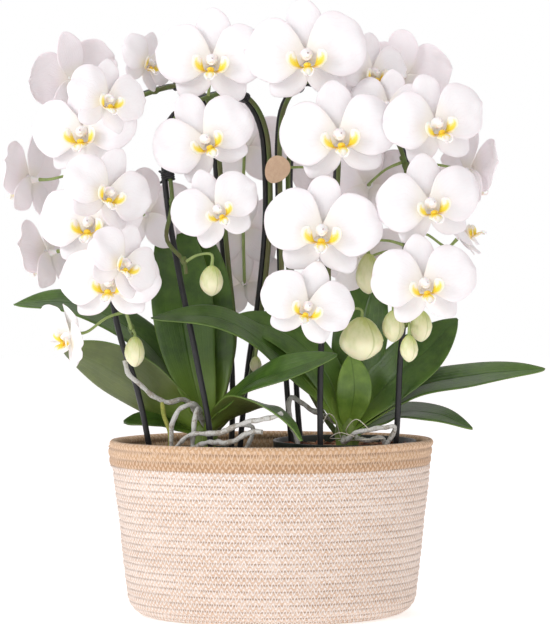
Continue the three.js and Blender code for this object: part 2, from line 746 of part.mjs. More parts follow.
for (const side of ['left', 'right']) {
  const roots = crownRoots[side].map((points) => rodSolid(points.map(vector), root.radius, root.sides));
  const small = leafSolid(smallLeaves[side], 0);
  addMesh(`crown_${side}`, geometryOf(joined([crownBody(side, 0), small, ...roots])), 'crown');
  const taken = [crownBody(side, clearance), leafSolid(smallLeaves[side], 2 * clearance)];
  taken.push(...crownRoots[side].map((points) => (
    rodSolid(points.map(vector), root.radius + clearance, root.sides)
  )));
  leaves[side].forEach((leaf, i) => {
    const above = leaves[side].slice(i + 1).map((other) => leafSolid(other, 2 * clearance));
    const cut = leafSolid(leaf, 0).subtract(joined([...taken, ...above]));
    addMesh(`leaf_${side}_${i + 1}`, geometryOf(largestBody(cut)), 'leaf');
  });
}

// Pots and bark, with plain holes round everything that stands in the bark

['left', 'right'].forEach((side, i) => {
  const centre = potCentre(i * 2 - 1);
  const potMesh = addMesh(`pot_${side}`, potGeometry(side), 'pot');
  potMesh.position.set(centre.x, centre.y, 0);
  const standing = [crownBody(side, clearance)];
  for (const name of hoopsOf[side]) {
    standing.push(rodSolid(hoopRoutes[name].map(vector), hoop.radius + clearance, hoop.sides));
  }
  const drilled = barkSolid(centre, side).subtract(joined(standing));
  addMesh(`bark_${side}`, geometryOf(largestBody(drilled)), 'bark');
});

// Tag: a bare egg-shaped card that hangs on the middle stems
const tagOutline = new THREE.Shape();
tagOutline.absellipse(0, 0, tag.width / 2, tag.length / 2, 0, 2 * Math.PI);
const tagGeometry = new THREE.ExtrudeGeometry(tagOutline, {
  depth: tag.thickness, bevelEnabled: false, curveSegments: 8,
});
const tagMesh = addMesh('tag', tagGeometry, 'tag');
tagMesh.position.set(...tag.middle);
tagMesh.rotation.set(Math.PI / 2, 0, 0);

export default object;
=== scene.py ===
import math
import random

import bpy
from mathutils import Matrix, Vector, noise


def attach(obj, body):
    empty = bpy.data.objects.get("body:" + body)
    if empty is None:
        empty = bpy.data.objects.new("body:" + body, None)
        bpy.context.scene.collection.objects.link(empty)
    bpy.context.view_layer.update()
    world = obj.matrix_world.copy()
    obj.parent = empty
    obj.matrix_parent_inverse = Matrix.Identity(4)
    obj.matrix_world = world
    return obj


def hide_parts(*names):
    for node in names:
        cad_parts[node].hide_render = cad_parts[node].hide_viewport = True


# Moth orchid in a basket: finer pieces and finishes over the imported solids.
# Lengths are in millimetres while a piece is shaped, and become metres when it is settled.

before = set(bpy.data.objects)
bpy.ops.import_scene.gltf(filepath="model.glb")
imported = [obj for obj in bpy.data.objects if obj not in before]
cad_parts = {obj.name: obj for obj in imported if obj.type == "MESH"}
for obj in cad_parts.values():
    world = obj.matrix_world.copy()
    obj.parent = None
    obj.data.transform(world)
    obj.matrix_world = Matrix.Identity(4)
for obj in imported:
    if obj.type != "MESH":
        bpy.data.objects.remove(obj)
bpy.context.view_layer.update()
mm = 0.001
print("stage: frame loaded")


# Helpers for shaping


def deselectAll():
    if bpy.context.object and bpy.context.object.mode != "OBJECT":
        bpy.ops.object.mode_set(mode="OBJECT")
    bpy.ops.object.select_all(action="DESELECT")


def makeActive(piece):
    deselectAll()
    piece.select_set(True)
    bpy.context.view_layer.objects.active = piece


def applied(piece, kind, **settings):
    makeActive(piece)
    modifier = piece.modifiers.new("finish", kind)
    for key, value in settings.items():
        setattr(modifier, key, value)
    bpy.ops.object.modifier_apply(modifier=modifier.name)


# Gives a sheet its thickness, the second finish on its back, and rounds it
def thickened(piece, thickness):
    applied(piece, "SOLIDIFY", thickness=thickness, offset=0, material_offset=1, use_even_offset=False)
    applied(piece, "SUBSURF", levels=1, render_levels=1)


def startEdit():
    bpy.ops.object.mode_set(mode="EDIT")
    bpy.ops.mesh.select_all(action="SELECT")


def endEdit():
    bpy.ops.object.mode_set(mode="OBJECT")


def cleaned(piece, distance, outward=True):
    makeActive(piece)
    startEdit()
    bpy.ops.mesh.remove_doubles(threshold=distance)
    if outward:
        bpy.ops.mesh.normals_make_consistent(inside=False)
    endEdit()


def smoothed(piece, degrees):
    makeActive(piece)
    bpy.ops.object.shade_smooth_by_angle(angle=math.radians(degrees))


def joined(name, parts):
    deselectAll()
    for part in parts:
        part.select_set(True)
    bpy.context.view_layer.objects.active = parts[0]
    if len(parts) > 1:
        bpy.ops.object.join()
    whole = bpy.context.object
    whole.name = name
    return whole


def settle(piece, nodes):
    piece.data.transform(Matrix.Scale(mm, 4))
    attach(piece, "root")
    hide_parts(*nodes)


# The bent line through a list of stations, evenly divided along its length
def smoothLine(stations, count):
    points = [Vector(point) for point in stations]
    points = [points[0] * 2 - points[1]] + points + [points[-1] * 2 - points[-2]]
    dense = []
    stepsPerGap = 24
    for i in range(1, len(points) - 2):
        before, start, end, after = points[i - 1:i + 3]
        gaps = [max(1e-4, (b - a).length ** 0.5) for a, b in ((before, start), (start, end), (end, after))]
        leave = (start - before) / gaps[0] - (end - before) / (gaps[0] + gaps[1]) + (end - start) / gaps[1]
        arrive = (end - start) / gaps[1] - (after - start) / (gaps[1] + gaps[2]) + (after - end) / gaps[2]
        leave, arrive = leave * gaps[1], arrive * gaps[1]
        for step in range(stepsPerGap):
            t = step / stepsPerGap
            cubic = (2 * start - 2 * end + leave + arrive) * t ** 3
            dense.append(cubic + (3 * end - 3 * start - 2 * leave - arrive) * t * t + leave * t + start)
    dense.append(points[-2])
    reach = [0.0]
    for a, b in zip(dense, dense[1:]):
        reach.append(reach[-1] + (b - a).length)
    line, k = [], 0
    for i in range(count):
        target = reach[-1] * i / (count - 1)
        while k < len(dense) - 2 and reach[k + 1] < target:
            k += 1
        share = (target - reach[k]) / max(1e-6, reach[k + 1] - reach[k])
        line.append(dense[k].lerp(dense[k + 1], min(1, share)))
    return line


def pointAt(line, share):
    place = min(max(share, 0), 1) * (len(line) - 1)
    low = min(int(place), len(line) - 2)
    return line[low].lerp(line[low + 1], place - low)


def directionAt(line, share):
    step = 0.5 / (len(line) - 1)
    return (pointAt(line, share + step) - pointAt(line, share - step)).normalized()


# Round rods: a path curve given its points and radii, then made a mesh
def rods(name, lines, sides=3):
    deselectAll()
    bpy.ops.curve.primitive_nurbs_path_add()
    piece = bpy.context.object
    piece.name = name
    curve = piece.data
    curve.splines.clear()
    for line, radii in lines:
        spline = curve.splines.new("POLY")
        spline.points.add(len(line) - 1)
        for dot, place, radius in zip(spline.points, line, radii):
            dot.co = (*place, 1)
            dot.radius = radius
    curve.bevel_depth = 1
    curve.bevel_resolution = sides
    curve.use_fill_caps = True
    bpy.ops.object.convert(target="MESH")
    piece = bpy.context.object
    cleaned(piece, 0.01)
    smoothed(piece, 50)
    return piece


# Radii along a rod, rounded off at its ends
def evenRadii(line, radius):
    return [radius * 0.6] + [radius] * (len(line) - 2) + [radius * 0.6]


def gridPiece(name, along, across):
    deselectAll()
    bpy.ops.mesh.primitive_grid_add(x_subdivisions=along, y_subdivisions=across, size=2, calc_uvs=True)
    piece = bpy.context.object
    piece.name = name
    return piece


# Moves each point of a flat grid to its place on the real surface, and writes its UV.
# `place` takes the grid's x and y, from -1 to 1, and gives the point and the UV.
def shapedGrid(piece, place):
    spots = [place(vertex.co.x, vertex.co.y) for vertex in piece.data.vertices]
    for vertex, spot in zip(piece.data.vertices, spots):
        vertex.co = spot[0]
    layer = piece.data.uv_layers[0]
    layer.name = "UVMap"
    for loop in piece.data.loops:
        layer.data[loop.index].uv = spots[loop.vertex_index][1]


# A turned form: a ring raised and widened step by step, closed where its radius is nothing
def turned(name, profile, sides):
    deselectAll()
    start = max(profile[0][0], 0.01)
    bpy.ops.mesh.primitive_circle_add(vertices=sides, radius=start, location=(0, 0, profile[0][1]))
    piece = bpy.context.object
    piece.name = name
    bpy.ops.object.transform_apply(location=True)
    startEdit()
    radius, height = start, profile[0][1]
    for nextRadius, nextHeight in profile[1:]:
        wanted = max(nextRadius, 0.01)
        bpy.ops.mesh.extrude_edges_move(TRANSFORM_OT_translate={"value": (0, 0, nextHeight - height)})
        bpy.ops.transform.resize(value=(wanted / radius, wanted / radius, 1))
        radius, height = wanted, nextHeight
    endEdit()
    cleaned(piece, 0.03)
    return piece


# Helpers for finishes


# A node tree being built, with short names for the nodes that every finish uses
class Nodes:
    def __init__(self, tree):
        self.tree = tree

    def fill(self, node, inputs):
        for key, value in inputs.items():
            if isinstance(value, bpy.types.NodeSocket):
                self.tree.links.new(value, node.inputs[key])
            else:
                node.inputs[key].default_value = value
        return node

    def add(self, kind, inputs, **settings):
        node = self.tree.nodes.new(kind)
        for key, value in settings.items():
            setattr(node, key, value)
        return self.fill(node, inputs)

    def maths(self, operation, a, b=0.0):
        return self.add("ShaderNodeMath", {0: a, 1: b}, operation=operation).outputs[0]

    def times(self, a, b):
        return self.maths("MULTIPLY", a, b)

    def plus(self, a, b):
        return self.maths("ADD", a, b)

    def minus(self, a, b):
        return self.maths("SUBTRACT", a, b)

    def absolute(self, a):
        return self.maths("ABSOLUTE", a)

    def blended(self, factor, a, b):
        return self.add("ShaderNodeMix", {0: factor, 6: a, 7: b}, data_type="RGBA").outputs[2]

    # A value drawn from one range to another, clamped
    def ranged(self, value, low, high, toLow=0.0, toHigh=1.0):
        inputs = {0: value, 1: low, 2: high, 3: toLow, 4: toHigh}
        return self.add("ShaderNodeMapRange", inputs, interpolation_type="SMOOTHSTEP").outputs[0]

    def stretched(self, vector, scale):
        return self.add("ShaderNodeMapping", {"Vector": vector, "Scale": scale}).outputs[0]

    def split(self, vector):
        return self.add("ShaderNodeSeparateXYZ", {0: vector}).outputs

    def uv(self):
        return self.add("ShaderNodeUVMap", {}, uv_map="UVMap").outputs[0]

    def where(self):
        return self.add("ShaderNodeTexCoord", {}).outputs["Object"]

    def speckle(self, vector, scale, detail=2.0):
        inputs = {"Vector": vector, "Scale": scale, "Detail": detail}
        return self.add("ShaderNodeTexNoise", inputs).outputs[0]

    def placed(self, group, inputs):
        return self.add("ShaderNodeGroup", inputs, node_tree=group).outputs

    def cloud(self, vector, scale):
        return self.placed(mottle, {"Vector": vector, "Scale": scale})["Mask"]

    def veined(self, uv, count, wander):
        return self.placed(veins, {"UV": uv, "Count": count, "Wander": wander})


# A material being built on its Principled shader
class Finish(Nodes):
    def __init__(self, name, settings):
        self.material = bpy.data.materials.new(name)
        self.material.use_nodes = True
        super().__init__(self.material.node_tree)
        self.shader = self.tree.nodes["Principled BSDF"]
        self.drive(settings)

    def drive(self, inputs):
        self.fill(self.shader, inputs)

    # Colours and raises the surface, which ends the work on the material
    def surface(self, colour, height, depth, strength):
        bump = self.placed(relief, {"Height": height, "Depth": depth, "Strength": strength})
        self.drive({"Base Color": colour, "Normal": bump["Normal"]})
        return self.material


def newGroup(name, inputs, outputs):
    tree = bpy.data.node_groups.new(name, "ShaderNodeTree")
    kinds = {"vector": "NodeSocketVector", "value": "NodeSocketFloat"}
    for sockets, way in ((inputs, "INPUT"), (outputs, "OUTPUT")):
        for label, kind in sockets:
            tree.interface.new_socket(name=label, in_out=way, socket_type=kinds[kind])
    return Nodes(tree), tree.nodes.new("NodeGroupInput").outputs, tree.nodes.new("NodeGroupOutput").inputs


# Cloudy patches in two sizes, from 0 to 1
def makeMottle():
    s, given, out = newGroup("mottle", [("Vector", "vector"), ("Scale", "value")], [("Mask", "value")])
    coarse = s.speckle(given["Vector"], given["Scale"], 3.0)
    fine = s.speckle(given["Vector"], s.times(given["Scale"], 4.3))
    whole = s.plus(s.times(coarse, 0.65), s.times(fine, 0.35))
    s.tree.links.new(s.ranged(whole, 0.34, 0.66), out["Mask"])
    return s.tree


# Fine lines that run along a petal or a leaf, from its UV: U along it and V across
def makeVeins():
    sockets = [("UV", "vector"), ("Count", "value"), ("Wander", "value")]
    s, given, out = newGroup("veins", sockets, [("Lines", "value"), ("Across", "value")])
    drift = s.times(s.minus(s.speckle(given["UV"], 5.0, 1.0), 0.5), given["Wander"])
    across = s.minus(s.split(given["UV"])[1], 0.5)
    wave = s.absolute(s.maths("SINE", s.times(s.plus(across, drift), given["Count"])))
    s.tree.links.new(s.ranged(wave, 0.0, 0.35, 1.0, 0.0), out["Lines"])
    s.tree.links.new(s.absolute(across), out["Across"])
    return s.tree


# A height in metres turned into a surface normal
def makeRelief():
    sockets = [("Height", "value"), ("Depth", "value"), ("Strength", "value")]
    s, given, out = newGroup("relief", sockets, [("Normal", "vector")])
    inputs = {"Height": given["Height"], "Distance": given["Depth"], "Strength": given["Strength"]}
    s.tree.links.new(s.add("ShaderNodeBump", inputs).outputs[0], out["Normal"])
    return s.tree


mottle = makeMottle()
veins = makeVeins()
relief = makeRelief()
evenly = (1, 1, 1)


# Two colours in cloudy patches under a grain. A patch or a grain is its scale and its stretch along
# the three axes; the gloss, where there is one, is the roughness from clean to dusty.
def cloudyFinish(name, settings, main, other, share, patch, grain, depth, strength, detail=2.0, gloss=None):
    s = Finish(name, settings)
    where = s.where()
    cloud = s.cloud(s.stretched(where, patch[1]), patch[0])
    if gloss:
        s.drive({"Roughness": s.ranged(cloud, 0.0, 1.0, *gloss)})
    height = s.speckle(s.stretched(where, grain[1]), grain[0], detail)
    return s.surface(s.blended(s.times(cloud, share), main, other), height, depth, strength)


print("stage: shared effects made")


# Camera, light and floor

view = {
    "place": (2.5, -1700, 278),
    "aim": (2.5, 0, 256),
    "seenHeight": 530.4,  # millimetres of height that the frame takes in at the basket's middle
    "sensor": 36,
}

studio = {
    "key": {"place": (-1.6, -1.4, 1.2), "size": 1.1, "power": 21, "colour": (0.98, 0.985, 1.0)},
    "fill": {"place": (1.5, -1.2, 0.9), "size": 1.4, "power": 2.5, "colour": (1.0, 0.95, 0.93)},
    "above": {"place": (-0.1, 0.5, 1.9), "size": 1.3, "power": 5, "colour": (1.0, 0.99, 0.99)},
    "surround": (1.0, 0.955, 0.965),
    "surroundStrength": 0.66,
    "floorColour": (0.93, 0.92, 0.915, 1),
    "floorGlow": 0.44,
}


def makeCamera():
    data = bpy.data.cameras.new("camera")
    data.sensor_width = view["sensor"]
    data.lens = view["sensor"] * abs(view["place"][1]) / view["seenHeight"]
    data.clip_start, data.clip_end = 0.05, 50
    camera = bpy.data.objects.new("camera", data)
    bpy.context.scene.collection.objects.link(camera)
    place, aim = Vector(view["place"]) * mm, Vector(view["aim"]) * mm
    camera.location = place
    camera.rotation_euler = (aim - place).to_track_quat("-Z", "Y").to_euler()
    bpy.context.scene.camera = camera


def makeLight(name, settings):
    data = bpy.data.lights.new(name, "AREA")
    data.shape, data.size = "DISK", settings["size"]
    data.energy, data.color = settings["power"], settings["colour"]
    light = bpy.data.objects.new(name, data)
    bpy.context.scene.collection.objects.link(light)
    light.location = settings["place"]
    toPlant = Vector((0, 0, 0.25)) - light.location
    light.rotation_euler = toPlant.to_track_quat("-Z", "Y").to_euler()


def makeSurround():
    world = bpy.data.worlds.new("studio")
    bpy.context.scene.world = world
    world.use_nodes = True
    world.node_tree.nodes.clear()
    s = Nodes(world.node_tree)
    light = {"Color": (*studio["surround"], 1), "Strength": studio["surroundStrength"]}
    lit = s.add("ShaderNodeBackground", light).outputs[0]
    seen = s.add("ShaderNodeBackground", {"Color": (1, 1, 1, 1), "Strength": 1.0}).outputs[0]
    toCamera = s.add("ShaderNodeLightPath", {}).outputs["Is Camera Ray"]
    mixed = s.add("ShaderNodeMixShader", {0: toCamera, 1: lit, 2: seen})
    s.add("ShaderNodeOutputWorld", {0: mixed.outputs[0]})
    bpy.context.scene.view_settings.view_transform = "Standard"


def makeFloor():
    deselectAll()
    bpy.ops.mesh.primitive_plane_add(size=12)
    floor = bpy.context.object
    floor.name = "floor"
    finish = Finish("paleFloor", {
        "Roughness": 0.85, "Base Color": studio["floorColour"], "Emission Color": (1, 1, 1, 1),
        "Emission Strength": studio["floorGlow"]})
    floor.data.materials.append(finish.material)


makeCamera()
for lightName in ("key", "fill", "above"):
    makeLight(lightName, studio[lightName])
makeSurround()
makeFloor()
print("stage: camera, light and floor made")


# Basket: rows of stitched rope

basket = {
    "halfWidth": 137.5, "halfDepth": 95, "baseHalfWidth": 121, "baseHalfDepth": 82,
    "height": 148, "wall": 6, "floor": 7, "corner": 17, "turn": math.radians(4),
    "bodyRows": 24, "bandRows": 3, "bandPitch": 7,
    "rimRadius": 3.6, "rimFrom": -55, "rimSweep": 290, "rimSteps": 14,
    "groove": 0.85, "proud": 0.4, "around": 176, "stitches": 166,
    "ropeEnd": {"angle": 180, "spread": 7, "proud": 2.0},
}

ropeFinish = {
    "cream": (0.72, 0.54, 0.42, 1), "creamPale": (0.84, 0.69, 0.58, 1), "fleck": (0.60, 0.37, 0.22, 1),
    "jute": (0.60, 0.38, 0.22, 1), "jutePale": (0.76, 0.54, 0.36, 1), "thread": (0.96, 0.90, 0.86, 1),
    # the last colour on the next line is brown painted shade for the grooves between the rows
    "juteDeep": (0.42, 0.23, 0.12, 1), "threadJute": (0.80, 0.59, 0.42, 1), "grooveShade": (0.42, 0.26, 0.16, 1),
    "bandFrom": 24.0, "bandTo": 30.0, "depth": 0.00075,
}


def rowBulge(share):
    return basket["proud"] - basket["groove"] * (1 - abs(math.sin(math.pi * share)) ** 0.6)


# The wall's outline from the middle of the underside, out, up, over the rim and down the inside:
# how far in from the outer oval, the height, and the row that it belongs to
def basketOutline():
    b = basket
    arc = b["corner"] * math.pi / 2
    bandStart = b["height"] - b["bandRows"] * b["bandPitch"]
    length = arc + bandStart - b["corner"]
    pitch = length / b["bodyRows"]
    outline = []
    underRows = int((b["baseHalfDepth"] - b["corner"]) / pitch)
    for k in range(underRows):
        for share in (0.0, 0.25, 0.5, 0.75):
            row = k + share
            inset = b["baseHalfDepth"] - row * (b["baseHalfDepth"] - b["corner"]) / underRows
            outline.append((inset, b["proud"] - rowBulge(share), row - underRows))
    steps = 6
    for k in range(b["bodyRows"] * steps):
        row = k / steps
        bulge = rowBulge(row % 1)
        s = row * pitch
        if s < arc:
            angle = s / b["corner"]
            inset = b["corner"] * (1 - math.sin(angle)) - bulge * math.sin(angle)
            height = max(0, b["corner"] * (1 - math.cos(angle)) - bulge * math.cos(angle))
        else:
            inset, height = -bulge, b["corner"] + s - arc
        outline.append((inset, height, row))
    for k in range((b["bandRows"] - 1) * steps):
        row = k / steps
        outline.append((-rowBulge(row % 1), bandStart + row * b["bandPitch"], b["bodyRows"] + row))
    rimHeight = b["height"] - b["rimRadius"] + 0.2
    lastRow = b["bodyRows"] + b["bandRows"] - 1
    for k in range(b["rimSteps"] + 1):
        share = k / b["rimSteps"]
        angle = math.radians(b["rimFrom"] + b["rimSweep"] * share)
        inset = b["wall"] / 2 - b["rimRadius"] * math.cos(angle)
        outline.append((inset, rimHeight + b["rimRadius"] * math.sin(angle), lastRow + 2 * share))
    height, row = b["height"] - b["bandPitch"], lastRow + 2
    for k in range(7):
        step = b["bandPitch"] if k < 2 else pitch
        for share in (0.2, 0.4, 0.6, 0.8, 1.0):
            outline.append((b["wall"] + rowBulge(share), height - share * step, row + share))
        height, row = height - step, row + 1
    outline.append((b["wall"], b["floor"] + 12, row + 6))
    outline.append((b["wall"] + 1, b["floor"] + 5, row + 7))
    outline.append((b["wall"] + 5, b["floor"], row + 8))
    outline.append((b["halfDepth"] * 0.5, b["floor"], row + 12))
    outline.append((b["halfDepth"] + 20, b["floor"], row + 16))
    return outline


def makeRope():
    f = ropeFinish
    s = Finish("stitchedRope", {"Roughness": 0.92, "Sheen Weight": 0.25, "Specular IOR Level": 0.2})
    uv = s.uv()
    split = s.split(uv)
    along, row = split[0], split[1]
    band = s.times(s.maths("GREATER_THAN", row, f["bandFrom"]), s.maths("LESS_THAN", row, f["bandTo"]))
    # twisted strands, beige with tan flecks
    slanted = s.plus(s.times(along, 1.9), s.times(row, 1.5))
    strand = s.absolute(s.maths("SINE", s.times(slanted, math.pi)))
    dashes = {"Vector": s.stretched(uv, (1.1, 2.6, 1)), "Scale": 1.0, "Detail": 2.0, "Roughness": 0.6}
    fleck = s.ranged(s.add("ShaderNodeTexNoise", dashes).outputs[0], 0.5, 0.64)
    cloud = s.cloud(s.stretched(uv, (0.05, 0.3, 1)), 1.0)
    cream = s.blended(cloud, f["cream"], f["creamPale"])
    cream = s.blended(s.times(fleck, 0.55), cream, f["fleck"])
    jute = s.blended(fleck, f["jute"], f["jutePale"])
    lowest = s.ranged(row, f["bandFrom"] + 0.6, f["bandFrom"] + 1.6, 0.6, 0.0)
    jute = s.blended(lowest, jute, f["juteDeep"])
    rope = s.blended(band, cream, jute)
    # zigzag thread: it crosses each groove, from the middle of one row to the middle of the next
    wander = s.times(s.minus(s.speckle(s.stretched(uv, (0.5, 1.0, 1)), 0.9), 0.5), 0.8)
    turnsAlong = s.maths("FRACT", s.plus(along, wander))
    zigzag = s.times(s.absolute(s.minus(turnsAlong, 0.5)), 2.0)
    across = s.maths("FRACT", s.plus(row, 0.5))
    gap = s.absolute(s.minus(across, zigzag))
    thread = s.ranged(gap, 0.14, 0.34, 1.0, 0.0)
    threadColour = s.blended(band, f["thread"], f["threadJute"])
    # short brown slits where the thread dips between two rows: painted shade in the grooves between the rows
    toGroove = s.absolute(s.minus(across, 0.5))
    dip = s.times(s.ranged(toGroove, 0.05, 0.17, 1.0, 0.0), s.ranged(gap, 0.12, 0.3))
    broken = s.speckle(s.stretched(uv, (0.28, 0.9, 1)), 1.0)
    dip = s.times(dip, s.ranged(broken, 0.36, 0.58, 0.25, 1.0))
    colour = s.blended(s.times(thread, 0.85), rope, threadColour)
    # brown painted shade laid into the grooves where the thread dips
    colour = s.blended(s.times(dip, 0.75), colour, f["grooveShade"])
    hair = s.speckle(s.stretched(uv, (3.0, 9.0, 1)), 1.0, 3.0)
    height = s.plus(s.times(strand, 0.35), s.times(thread, 0.7))
    height = s.minus(s.plus(height, s.times(hair, 0.35)), s.times(dip, 0.6))
    return s.surface(colour, height, f["depth"], 0.9)


def makeBasket():
    b = basket
    outline = basketOutline()
    piece = gridPiece("ropeBasket", b["around"], len(outline) - 1)
    end = b["ropeEnd"]

    def place(x, y):
        share = (x + 1) / 2
        inset, height, row = outline[round((y + 1) / 2 * (len(outline) - 1))]
        angle = 2 * math.pi * share - math.pi / 2
        rise = height / b["height"]
        halfWidth = b["baseHalfWidth"] + (b["halfWidth"] - b["baseHalfWidth"]) * rise
        halfDepth = b["baseHalfDepth"] + (b["halfDepth"] - b["baseHalfDepth"]) * rise
        spot = Vector((math.cos(angle), math.sin(angle), height / 55))
        small = Vector((spot.x * 9, spot.y * 9, row * 0.9))
        uneven = 0.7 * noise.noise(spot * 1.7) + 0.25 * noise.noise(small)
        turned = (math.degrees(angle) - end["angle"] + 180) % 360 - 180
        lapped = math.exp(-(turned / end["spread"]) ** 2) if 23.8 < row < 26.2 else 0
        inset = inset - lapped * end["proud"] + (uneven if height > 3 else 0)
        if height > 20:
            height += 0.5 * noise.noise(Vector((spot.x * 1.6, spot.y * 1.6, 7 + height / 70)))
        x, y = max(0, halfWidth - inset) * math.cos(angle), max(0, halfDepth - inset) * math.sin(angle)
        c, s = math.cos(b["turn"]), math.sin(b["turn"])
        return Vector((x * c - y * s, x * s + y * c, height)), (share * b["stitches"], row)

    shapedGrid(piece, place)
    cleaned(piece, 0.01)
    smoothed(piece, 80)
    piece.data.materials.append(makeRope())
    settle(piece, ["basket"])


makeBasket()
print("stage: basket made")


# Inner pots and their bark

pots = {
    "offset": 62, "bottom": 7.3, "baseRadius": 46, "rimRadius": 60, "wall": 1.5, "lip": 1.2, "lipHeight": 7,
    "top": {"left": 138, "right": 147}, "sides": 72, "colour": (0.013, 0.022, 0.017, 1),
    "dust": (0.05, 0.06, 0.05, 1),
}

barkFill = {
    "belowRim": 10, "bottom": 112, "rings": (44, 34, 24, 14, 5), "spread": 52, "radius": 57,
    "chips": 135, "chipSize": (11, 6.5, 3.4), "fibres": 26,
    "dark": (0.045, 0.017, 0.010, 1), "red": (0.24, 0.085, 0.042, 1), "pale": (0.44, 0.27, 0.16, 1),
    "fibre": (0.68, 0.55, 0.40, 1),
}


def potCentre(side):
    reach = pots["offset"] * (-1 if side == "left" else 1)
    return Vector((reach * math.cos(basket["turn"]), reach * math.sin(basket["turn"]), 0))


def makePot(side, plastic):
    p = pots
    top = p["top"][side]
    lipBottom = top - p["lipHeight"]

    def radiusAt(height):
        rise = (height - p["bottom"]) / (top - p["bottom"])
        return p["baseRadius"] + (p["rimRadius"] - p["baseRadius"]) * rise

    foot = p["bottom"] + 1.5
    profile = [(0, p["bottom"]), (p["baseRadius"] - 2, p["bottom"]), (radiusAt(foot), foot)]
    profile += [(radiusAt(h), h) for h in (40, 80, 115, lipBottom - 0.3)]
    profile += [(radiusAt(lipBottom) + 0.9, lipBottom), (radiusAt(lipBottom) + p["lip"], lipBottom + 0.5)]
    profile += [(p["rimRadius"] + p["lip"], top - 0.6), (p["rimRadius"] + 0.8, top)]
    profile += [(p["rimRadius"] - 0.9, top), (p["rimRadius"] - p["wall"], top - 0.6)]
    profile += [(radiusAt(h) - p["wall"], h) for h in (lipBottom, 115, 60)]
    profile += [(radiusAt(p["bottom"]) - p["wall"], p["bottom"] + p["wall"]), (0, p["bottom"] + p["wall"])]
    piece = turned("innerPot_" + side, profile, p["sides"])
    piece.data.transform(Matrix.Translation(potCentre(side)))
    smoothed(piece, 40)
    piece.data.materials.append(plastic)
    settle(piece, ["pot_" + side])


# One chip, a cube cut and roughened, copied at random over the fill
def makeBark(side, finishes, seed):
    f = barkFill
    chance = random.Random(seed)
    centre = potCentre(side)
    top = pots["top"][side] - f["belowRim"]
    inner = f["radius"] - 4
    profile = [(0, f["bottom"]), (inner, f["bottom"]), (f["radius"], top - 2), (inner, top)]
    profile += [(r, top) for r in f["rings"]] + [(0, top)]
    fill = turned("barkFill", profile, 48)
    for vertex in fill.data.vertices:
        if vertex.co.z > top - 5:
            vertex.co.z += 1.6 * noise.noise(vertex.co / 7 + Vector((seed, 0, 0)))
    fill.data.materials.append(finishes[0])
    deselectAll()
    bpy.ops.mesh.primitive_cube_add(size=1)
    chip = bpy.context.object
    startEdit()
    bpy.ops.transform.resize(value=f["chipSize"])
    bpy.ops.mesh.bevel(offset=0.7, segments=1, affect="EDGES")
    endEdit()
    parts = [fill]
    for k in range(f["chips"]):
        copy = chip.copy()
        copy.data = chip.data.copy()
        bpy.context.scene.collection.objects.link(copy)
        for vertex in copy.data.vertices:
            vertex.co += 0.9 * noise.noise_vector(vertex.co / 4 + Vector((k * 3.1, seed, 0)))
        angle, reach = chance.uniform(0, 2 * math.pi), f["spread"] * math.sqrt(chance.random())
        height = top + chance.uniform(0.5, 4.5)
        spot = centre + Vector((reach * math.cos(angle), reach * math.sin(angle), height))
        turn = Matrix.Identity(4)
        for low, high, axis in ((0, 6.3, "Z"), (-0.6, 0.6, "X"), (-0.5, 0.5, "Y")):
            turn = turn @ Matrix.Rotation(chance.uniform(low, high), 4, axis)
        size = Matrix.Scale(chance.uniform(0.6, 1.15), 4)
        copy.data.transform(Matrix.Translation(spot) @ turn @ size)
        copy.data.materials.append(chance.choice(finishes[:3]))
        parts.append(copy)
    bpy.data.objects.remove(chip, do_unlink=True)
    threads = []
    for k in range(f["fibres"]):
        angle, reach = chance.uniform(0, 2 * math.pi), chance.uniform(8, 50)
        spot = centre + Vector((reach * math.cos(angle), reach * math.sin(angle), top + 4))
        bend = []
        for i in range(3):
            shift = (chance.uniform(-9, 9), chance.uniform(-9, 9), chance.uniform(-1, 2.5))
            bend.append(spot + Vector(shift))
        line = smoothLine(bend, 8)
        threads.append((line, evenRadii(line, 0.35)))
    fibres = rods("fibres", threads, 1)
    fibres.data.materials.append(finishes[3])
    parts.append(fibres)
    for vertex in fill.data.vertices:
        vertex.co += centre
    piece = joined("barkChips_" + side, parts)
    settle(piece, ["bark_" + side])


potPlastic = cloudyFinish(
    "potPlastic", {"Specular IOR Level": 0.5}, pots["colour"], pots["dust"], 0.25,
    (55.0, evenly), (900.0, evenly), 0.0001, 0.4, gloss=(0.34, 0.55))
barkFinishes = []
for name, main, other in (("barkDark", "dark", "red"), ("barkRed", "red", "dark"),
                          ("barkPale", "red", "pale"), ("mossFibre", "fibre", "pale")):
    barkFinishes.append(cloudyFinish(
        name, {"Roughness": 0.9, "Specular IOR Level": 0.25}, barkFill[main], barkFill[other], 1.0,
        (120.0, evenly), (420.0, (1, 3, 1)), 0.0006, 0.8, detail=4.0))
for side, seed in (("left", 3), ("right", 8)):
    makePot(side, potPlastic)
    makeBark(side, barkFinishes, seed)
print("stage: pots and bark made")


# Hoops, and the lines of the flower stems beside them

